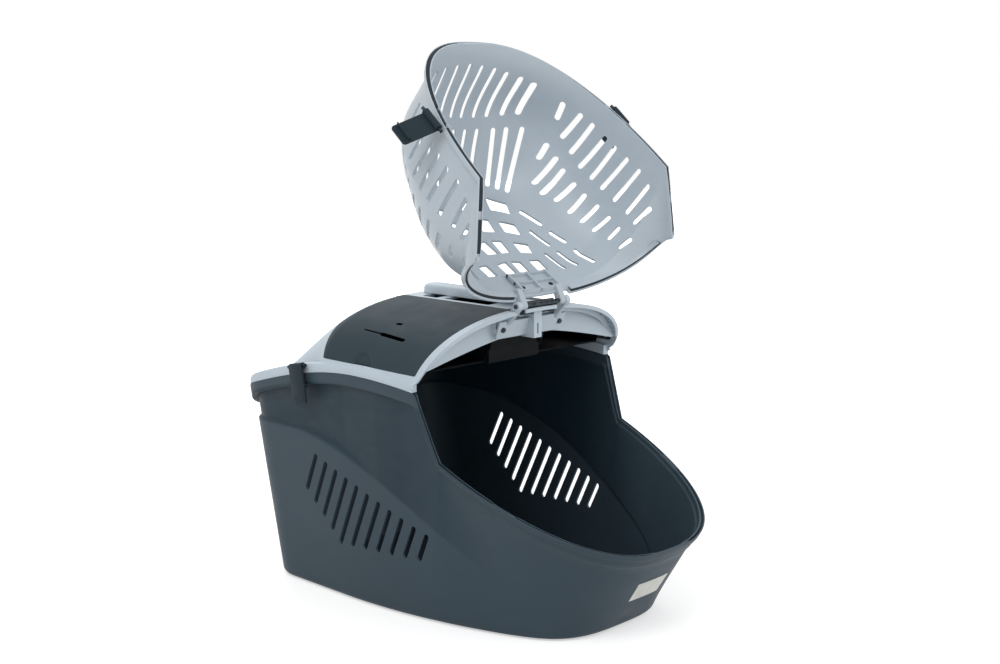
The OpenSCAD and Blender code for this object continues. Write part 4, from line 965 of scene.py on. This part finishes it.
def add(tree, kind, **values):
    """A node whose properties and unlinked inputs are set by name or, with an underscore, by number."""
    node = tree.nodes.new(kind)
    for key, value in values.items():
        if key[0] == "_":
            feed(tree, node.inputs[int(key[1:])], value)
        else:
            setattr(node, key, value)
    return node


def math_node(tree, operation, a, b=0.5, c=0.0, clamped=False):
    return add(tree, "ShaderNodeMath", operation=operation, use_clamp=clamped, _0=a, _1=b, _2=c).outputs[0]


def noise(tree, scale, detail=2.0, rough=0.5, stretch=None, where=None):
    """Noise on Object coordinates, in lumps per metre, pulled longer along an axis by stretch."""
    where = where or add(tree, "ShaderNodeTexCoord").outputs["Object"]
    if stretch:
        m = add(tree, "ShaderNodeMapping")
        m.inputs["Scale"].default_value = stretch
        tree.links.new(where, m.inputs["Vector"])
        where = m.outputs[0]
    n = add(tree, "ShaderNodeTexNoise")
    tree.links.new(where, n.inputs["Vector"])
    n.inputs["Scale"].default_value = scale
    n.inputs["Detail"].default_value = detail
    n.inputs["Roughness"].default_value = rough
    return n.outputs["Fac"]


def span(tree, value, low, high, to_low=0.0, to_high=1.0):
    n = add(tree, "ShaderNodeMapRange")
    tree.links.new(value, n.inputs[0])
    for k, v in enumerate((low, high, to_low, to_high), 1):
        n.inputs[k].default_value = v
    return n.outputs[0]


def blend_colour(tree, fac, a, b, mode="MIX"):
    n = add(tree, "ShaderNodeMix", data_type="RGBA", blend_type=mode)
    for socket, value in ((n.inputs["Factor"], fac), (n.inputs[6], a), (n.inputs[7], b)):
        feed(tree, socket, value)
    return n.outputs[2]


def moulded_skin():
    """Moulded plastic: slow mottling of the colour, a fine spark-eroded grain as a bump height, and a roughness that
    varies with the mottling's streaks."""
    tree, inp, out = new_group("Moulded skin", [("Colour", "colour", None), ("Roughness", "value", 0.4),
                                               ("Mottle", "value", 0.06), ("Grain", "value", 1.0)],
                               [("Colour", "colour"), ("Roughness", "value"), ("Height", "value")])
    slow = noise(tree, 9.0, 3.0, 0.55)
    fine = noise(tree, 1500.0, 1.0, 0.5)
    flow = noise(tree, 30.0, 3.0, 0.6, stretch=(1.0, 1.0, 3.0))
    tone = math_node(tree, "ADD", span(tree, slow, 0.3, 0.7, -0.5, 0.5), span(tree, flow, 0.3, 0.7, -0.35, 0.35))
    tone = math_node(tree, "MULTIPLY_ADD", tone, inp.outputs["Mottle"], 1.0)
    scaled = add(tree, "ShaderNodeVectorMath", operation="SCALE")
    tree.links.new(inp.outputs["Colour"], scaled.inputs[0])
    tree.links.new(tone, scaled.inputs["Scale"])
    tree.links.new(scaled.outputs[0], out.inputs["Colour"])
    rough = math_node(tree, "MULTIPLY_ADD", span(tree, flow, 0.3, 0.7, -0.5, 0.5), 0.12, inp.outputs["Roughness"])
    tree.links.new(rough, out.inputs["Roughness"])
    height = math_node(tree, "MULTIPLY", fine, inp.outputs["Grain"])
    tree.links.new(height, out.inputs["Height"])
    return tree


def recess_painted_shade():
    """Painted shade on the recessed wall: a mask of what lies above the crease's power curve and below the rim's
    band, fading out over the nose, where the tub is given the darker wall colour as painted shade."""
    tree, inp, out = new_group("Recess painted shade", [("Amount", "value", 0.0)], [("Mask", "value")])
    place = add(tree, "ShaderNodeSeparateXYZ")
    tree.links.new(add(tree, "ShaderNodeTexCoord").outputs["Object"], place.inputs[0])
    x, z = (math_node(tree, "MULTIPLY", place.outputs[k], 1000.0) for k in (0, 2))
    run = math_node(tree, "MAXIMUM", math_node(tree, "SUBTRACT", x, KNEE_X - CREASE_RUN), 0.0)
    fall = math_node(tree, "MULTIPLY", math_node(tree, "POWER", run, CREASE_POWER), CREASE_FALL)
    crease = math_node(tree, "SUBTRACT", CREASE_Z, fall)
    above = span(tree, math_node(tree, "SUBTRACT", z, crease), -2.0, 3.0)
    side = math_node(tree, "DIVIDE", math_node(tree, "SUBTRACT", x, ARCH_X), (ARCH_X - REAR_X) / 6.6)
    band = math_node(tree, "SUBTRACT", ARCH_RIM_Z - BAND_H, math_node(tree, "MULTIPLY", side, side))
    below = span(tree, math_node(tree, "SUBTRACT", band, z), -2.0, 1.0)
    along = span(tree, x, KNEE_X - 60, KNEE_X + 60, 1.0, 0.0)
    mask = math_node(tree, "MULTIPLY", math_node(tree, "MULTIPLY", above, below), along)
    tree.links.new(math_node(tree, "MULTIPLY", mask, inp.outputs["Amount"], clamped=True), out.inputs["Mask"])
    return tree


def edge_wear():
    """Handling wear: a mask of corners and rims, from the bevelled normal's turn, broken up by noise."""
    tree, inp, out = new_group("Edge wear", [("Width", "value", 0.0015), ("Amount", "value", 0.5)],
                               [("Mask", "value")])
    bevel = add(tree, "ShaderNodeBevel", samples=4)
    tree.links.new(inp.outputs["Width"], bevel.inputs["Radius"])
    geo = add(tree, "ShaderNodeNewGeometry")
    dot = add(tree, "ShaderNodeVectorMath", operation="DOT_PRODUCT")
    tree.links.new(bevel.outputs[0], dot.inputs[0])
    tree.links.new(geo.outputs["Normal"], dot.inputs[1])
    edge = span(tree, dot.outputs["Value"], 0.99, 0.80)
    patchy = span(tree, noise(tree, 120.0, 3.0, 0.65), 0.42, 0.62, 0.25, 1.0)
    mask = math_node(tree, "MULTIPLY", math_node(tree, "MULTIPLY", edge, patchy), inp.outputs["Amount"], clamped=True)
    tree.links.new(mask, out.inputs["Mask"])
    return tree


def fine_scratches():
    """Hairline scuffs: thin bright lines where a stretched noise crosses its mean, in sparse patches."""
    tree, inp, out = new_group("Fine scratches", [("Amount", "value", 0.5)], [("Mask", "value")])
    lines = None
    for stretch in ((1.0, 9.0, 9.0), (9.0, 1.0, 7.0)):
        n = noise(tree, 45.0, 2.0, 0.5, stretch=stretch)
        line = span(tree, math_node(tree, "ABSOLUTE", math_node(tree, "SUBTRACT", n, 0.5)), 0.0, 0.012, 1.0, 0.0)
        lines = line if lines is None else math_node(tree, "MAXIMUM", lines, line)
    patches = span(tree, noise(tree, 14.0, 2.0, 0.5), 0.52, 0.66)
    mask = math_node(tree, "MULTIPLY", math_node(tree, "MULTIPLY", lines, patches), inp.outputs["Amount"], clamped=True)
    tree.links.new(mask, out.inputs["Mask"])
    return tree


SKIN, WEAR, SCUFFS, RECESS_PAINTED_SHADE = moulded_skin(), edge_wear(), fine_scratches(), recess_painted_shade()


def srgb(r, g, b):
    """A colour given by its 0-255 values as they show on a screen, in linear light."""
    c = np.array([r, g, b]) / 255
    return tuple(np.where(c <= 0.04045, c / 12.92, ((c + 0.055) / 1.055) ** 2.4).tolist()) + (1.0,)


def new_finish(name):
    mat = bpy.data.materials.new(name)
    mat.use_nodes = True
    return mat, mat.node_tree, mat.node_tree.nodes["Principled BSDF"]


def link_bump(tree, shader, height, strength, depth):
    bump = add(tree, "ShaderNodeBump")
    bump.inputs["Strength"].default_value = strength
    bump.inputs["Distance"].default_value = depth
    tree.links.new(height, bump.inputs["Height"])
    tree.links.new(bump.outputs[0], shader.inputs["Normal"])


def seen_directly(tree):
    """1 where the camera, a reflection or a view through something meets the surface, and 0 for light."""
    path = add(tree, "ShaderNodeLightPath")
    return math_node(tree, "MAXIMUM", path.outputs["Is Camera Ray"], math_node(
        tree, "MAXIMUM", path.outputs["Is Glossy Ray"], path.outputs["Is Transmission Ray"]))


def plastic(name, colour, rough, mottle, grain, wear, scuff, depth=0.00003, worn=None, specular=0.5,
            wall=None):
    """Moulded plastic from the shared effects: skin, worn edges and scuffs over one principled shader, and painted
    shade on the recessed wall where wall gives its darker colour."""
    mat, tree, shader = new_finish(name)
    skin = add(tree, "ShaderNodeGroup", node_tree=SKIN)
    skin.inputs["Colour"].default_value = colour
    skin.inputs["Roughness"].default_value = rough
    skin.inputs["Mottle"].default_value = mottle
    skin.inputs["Grain"].default_value = grain
    edge = add(tree, "ShaderNodeGroup", node_tree=WEAR)
    edge.inputs["Amount"].default_value = wear
    lines = add(tree, "ShaderNodeGroup", node_tree=SCUFFS)
    lines.inputs["Amount"].default_value = scuff
    pale = worn or tuple(min(1.0, 1.35 * c + 0.05) for c in colour[:3]) + (1.0,)
    shade = skin.outputs["Colour"]
    # Painted shade: the recessed wall's mask blends the colour towards the darker wall colour
    if wall:
        tone = add(tree, "ShaderNodeGroup", node_tree=RECESS_PAINTED_SHADE)
        tone.inputs["Amount"].default_value = 1.0
        shade = blend_colour(tree, tone.outputs["Mask"], shade, wall)
    shade = blend_colour(tree, edge.outputs["Mask"], shade, pale)
    shade = blend_colour(tree, lines.outputs["Mask"], shade, pale)
    tree.links.new(shade, shader.inputs["Base Color"])
    rougher = math_node(tree, "MULTIPLY_ADD", lines.outputs["Mask"], 0.2, skin.outputs["Roughness"])
    tree.links.new(rougher, shader.inputs["Roughness"])
    shader.inputs["Specular IOR Level"].default_value = specular
    link_bump(tree, shader, skin.outputs["Height"], 0.35, depth)
    return mat


def steel_finish(name, dark, light):
    """Steel: turned lines along the pin's length and dull patches."""
    mat, tree, shader = new_finish(name)
    shader.inputs["Metallic"].default_value = 1.0
    lines = noise(tree, 900.0, 2.0, 0.6, stretch=(1.0, 0.1, 1.0))
    patches = noise(tree, 160.0, 3.0, 0.6)
    shade = blend_colour(tree, span(tree, patches, 0.35, 0.65), dark, light)
    tree.links.new(shade, shader.inputs["Base Color"])
    tree.links.new(span(tree, lines, 0.3, 0.7, 0.22, 0.42), shader.inputs["Roughness"])
    link_bump(tree, shader, lines, 0.3, 0.00002)
    return mat


def paper_finish(name):
    """Bare coated paper, slightly yellowed in patches, with fibres and worn corners."""
    mat, tree, shader = new_finish(name)
    fibres = noise(tree, 2400.0, 3.0, 0.7, stretch=(1.0, 1.0, 0.3))
    patches = noise(tree, 60.0, 3.0, 0.6)
    shade = blend_colour(tree, span(tree, patches, 0.3, 0.7), srgb(232, 232, 228), srgb(216, 216, 208))
    edge = add(tree, "ShaderNodeGroup", node_tree=WEAR)
    edge.inputs["Amount"].default_value = 0.5
    tree.links.new(blend_colour(tree, edge.outputs["Mask"], shade, srgb(160, 160, 152)), shader.inputs["Base Color"])
    tree.links.new(span(tree, fibres, 0.3, 0.7, 0.55, 0.7), shader.inputs["Roughness"])
    link_bump(tree, shader, fibres, 0.4, 0.00003)
    return mat


# The wall colour is painted shade on the tub's recessed wall, above the crease and below the rim's band
tub_plastic = plastic("Tub plastic", srgb(57, 72, 82), 0.50, 0.10, 1.0, 0.35, 0.25, specular=0.20,
                      wall=srgb(33, 51, 62))
cover_plastic = plastic("Cover plastic", srgb(192, 205, 215), 0.45, 0.05, 1.0, 0.25, 0.15, specular=0.35)
lid_plastic = plastic("Lid plastic", srgb(180, 191, 200), 0.36, 0.06, 0.8, 0.25, 0.2, specular=0.45)
panel_plastic = plastic("Bin lid plastic", srgb(54, 67, 74), 0.62, 0.08, 1.0, 0.3, 0.3, specular=0.10)
clip_plastic = plastic("Clip plastic", srgb(36, 49, 57), 0.50, 0.08, 0.8, 0.4, 0.3, specular=0.12)
# Painted shade: the colour of the dark strips in the lid's rim groove and arch edge channel
groove_shade_dark = plastic("Groove painted shade", srgb(44, 52, 58), 0.7, 0.12, 0.6, 0.2, 0.1, specular=0.15)
bare_steel = steel_finish("Plated steel", srgb(176, 178, 176), srgb(214, 214, 208))
black_steel = steel_finish("Blackened steel", srgb(40, 45, 49), srgb(66, 72, 76))
# Painted shade: the tray is near black so that the space under the bulkhead shows as dark as its shade
tray_painted_shade = plastic("Tray painted shade", srgb(13, 17, 20), 0.6, 0.10, 1.0, 0.3, 0.2, specular=0.08)
bare_paper = paper_finish("Bare paper")

# ---- pieces ---------------------------------------------------------------------------------
make_tub(tub_plastic)
make_cover(cover_plastic)
for side in (1, -1):
    make_bin_lid(side, panel_plastic)
make_grip(cover_plastic)
make_lid(lid_plastic)
make_lid_arch_edge(lid_plastic)
make_lid_groove_shade(groove_shade_dark)
make_lid_bracket(lid_plastic)
make_bracket_screws(black_steel)
make_hinge_rail(clip_plastic)
make_clips(clip_plastic)
make_clip_seats(clip_plastic)
make_sticker(bare_paper)

# The CAD nodes that show as they are; the bin tray's near-black finish is painted shade under the bulkhead
for name, material in (("bin_tray", tray_painted_shade), ("hinge_block", cover_plastic), ("hinge_pin", black_steel),
                       ("grip_screws", bare_steel), ("hinge_block_screws", black_steel),
                       ("front_clip_pin_left", black_steel), ("front_clip_pin_right", black_steel),
                       ("cover_clip_pin_left", black_steel), ("cover_clip_pin_right", black_steel),
                       ("bin_lid_pin_left", bare_steel), ("bin_lid_pin_right", bare_steel)):
    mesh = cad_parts[name].data
    mesh.materials.clear()
    mesh.materials.append(material)


# ---- camera, floor and light ----------------------------------------------------------------
scene = bpy.context.scene
camera = bpy.data.objects.new("Camera", bpy.data.cameras.new("Camera"))
scene.collection.objects.link(camera)
scene.camera = camera
camera.location = (1.1595, -1.1875, 0.5810)
camera.rotation_euler = (Vector((0.0175, 0, 0.3094)) - camera.location).to_track_quat("-Z", "Y").to_euler()
camera.data.sensor_width = 36
camera.data.lens = 51.8

FLOOR_GLOW, GLOW_NEAR, GLOW_FAR = 0.5, 0.7, 1.3
floor = bpy.data.objects.new("Floor", bpy.data.meshes.new("Floor"))
floor.data.from_pydata([(-6, -6, 0), (6, -6, 0), (6, 6, 0), (-6, 6, 0)], [], [(0, 1, 2, 3)])
scene.collection.objects.link(floor)

# The floor is lit. Where it is seen directly it also glows: in part up to GLOW_NEAR metres, and fully past GLOW_FAR
white, tree, shader = new_finish("Floor white")
shader.inputs["Base Color"].default_value = (0.8, 0.8, 0.8, 1)
shader.inputs["Roughness"].default_value = 1.0
shader.inputs["Specular IOR Level"].default_value = 0.0
length = add(tree, "ShaderNodeVectorMath", operation="LENGTH")
tree.links.new(add(tree, "ShaderNodeTexCoord").outputs["Object"], length.inputs[0])
far = span(tree, length.outputs["Value"], GLOW_NEAR, GLOW_FAR)
glow = math_node(tree, "MULTIPLY", seen_directly(tree),
                 math_node(tree, "MULTIPLY_ADD", far, 1 - FLOOR_GLOW, FLOOR_GLOW))
shader.inputs["Emission Color"].default_value = (1, 1, 1, 1)
tree.links.new(glow, shader.inputs["Emission Strength"])
floor.data.materials.append(white)

world = bpy.data.worlds.new("Studio")
scene.world = world
world.use_nodes = True
tree = world.node_tree
background = tree.nodes["Background"]
tree.links.new(blend_colour(tree, seen_directly(tree), (0.62, 0.62, 0.62, 1), (1, 1, 1, 1)), background.inputs["Color"])
background.inputs["Strength"].default_value = 1.0


def lamp(name, place, target, size, power, tint=(1, 1, 1)):
    light = bpy.data.lights.new(name, "AREA")
    light.shape = "RECTANGLE"
    light.size, light.size_y = size
    light.energy = power
    light.color = tint
    obj = bpy.data.objects.new(name, light)
    obj.location = place
    obj.rotation_euler = (Vector(target) - Vector(place)).to_track_quat("-Z", "Y").to_euler()
    scene.collection.objects.link(obj)


lamp("Key", (0.6, -1.6, 2.2), (0, 0, 0.25), (1.6, 1.2), 20)
lamp("Fill", (2.2, 0.9, 1.3), (0, 0, 0.3), (1.4, 1.6), 12)
lamp("Back", (-1.8, 1.2, 1.8), (0, 0, 0.3), (1.6, 1.2), 14)

scene.view_settings.view_transform = "Standard"
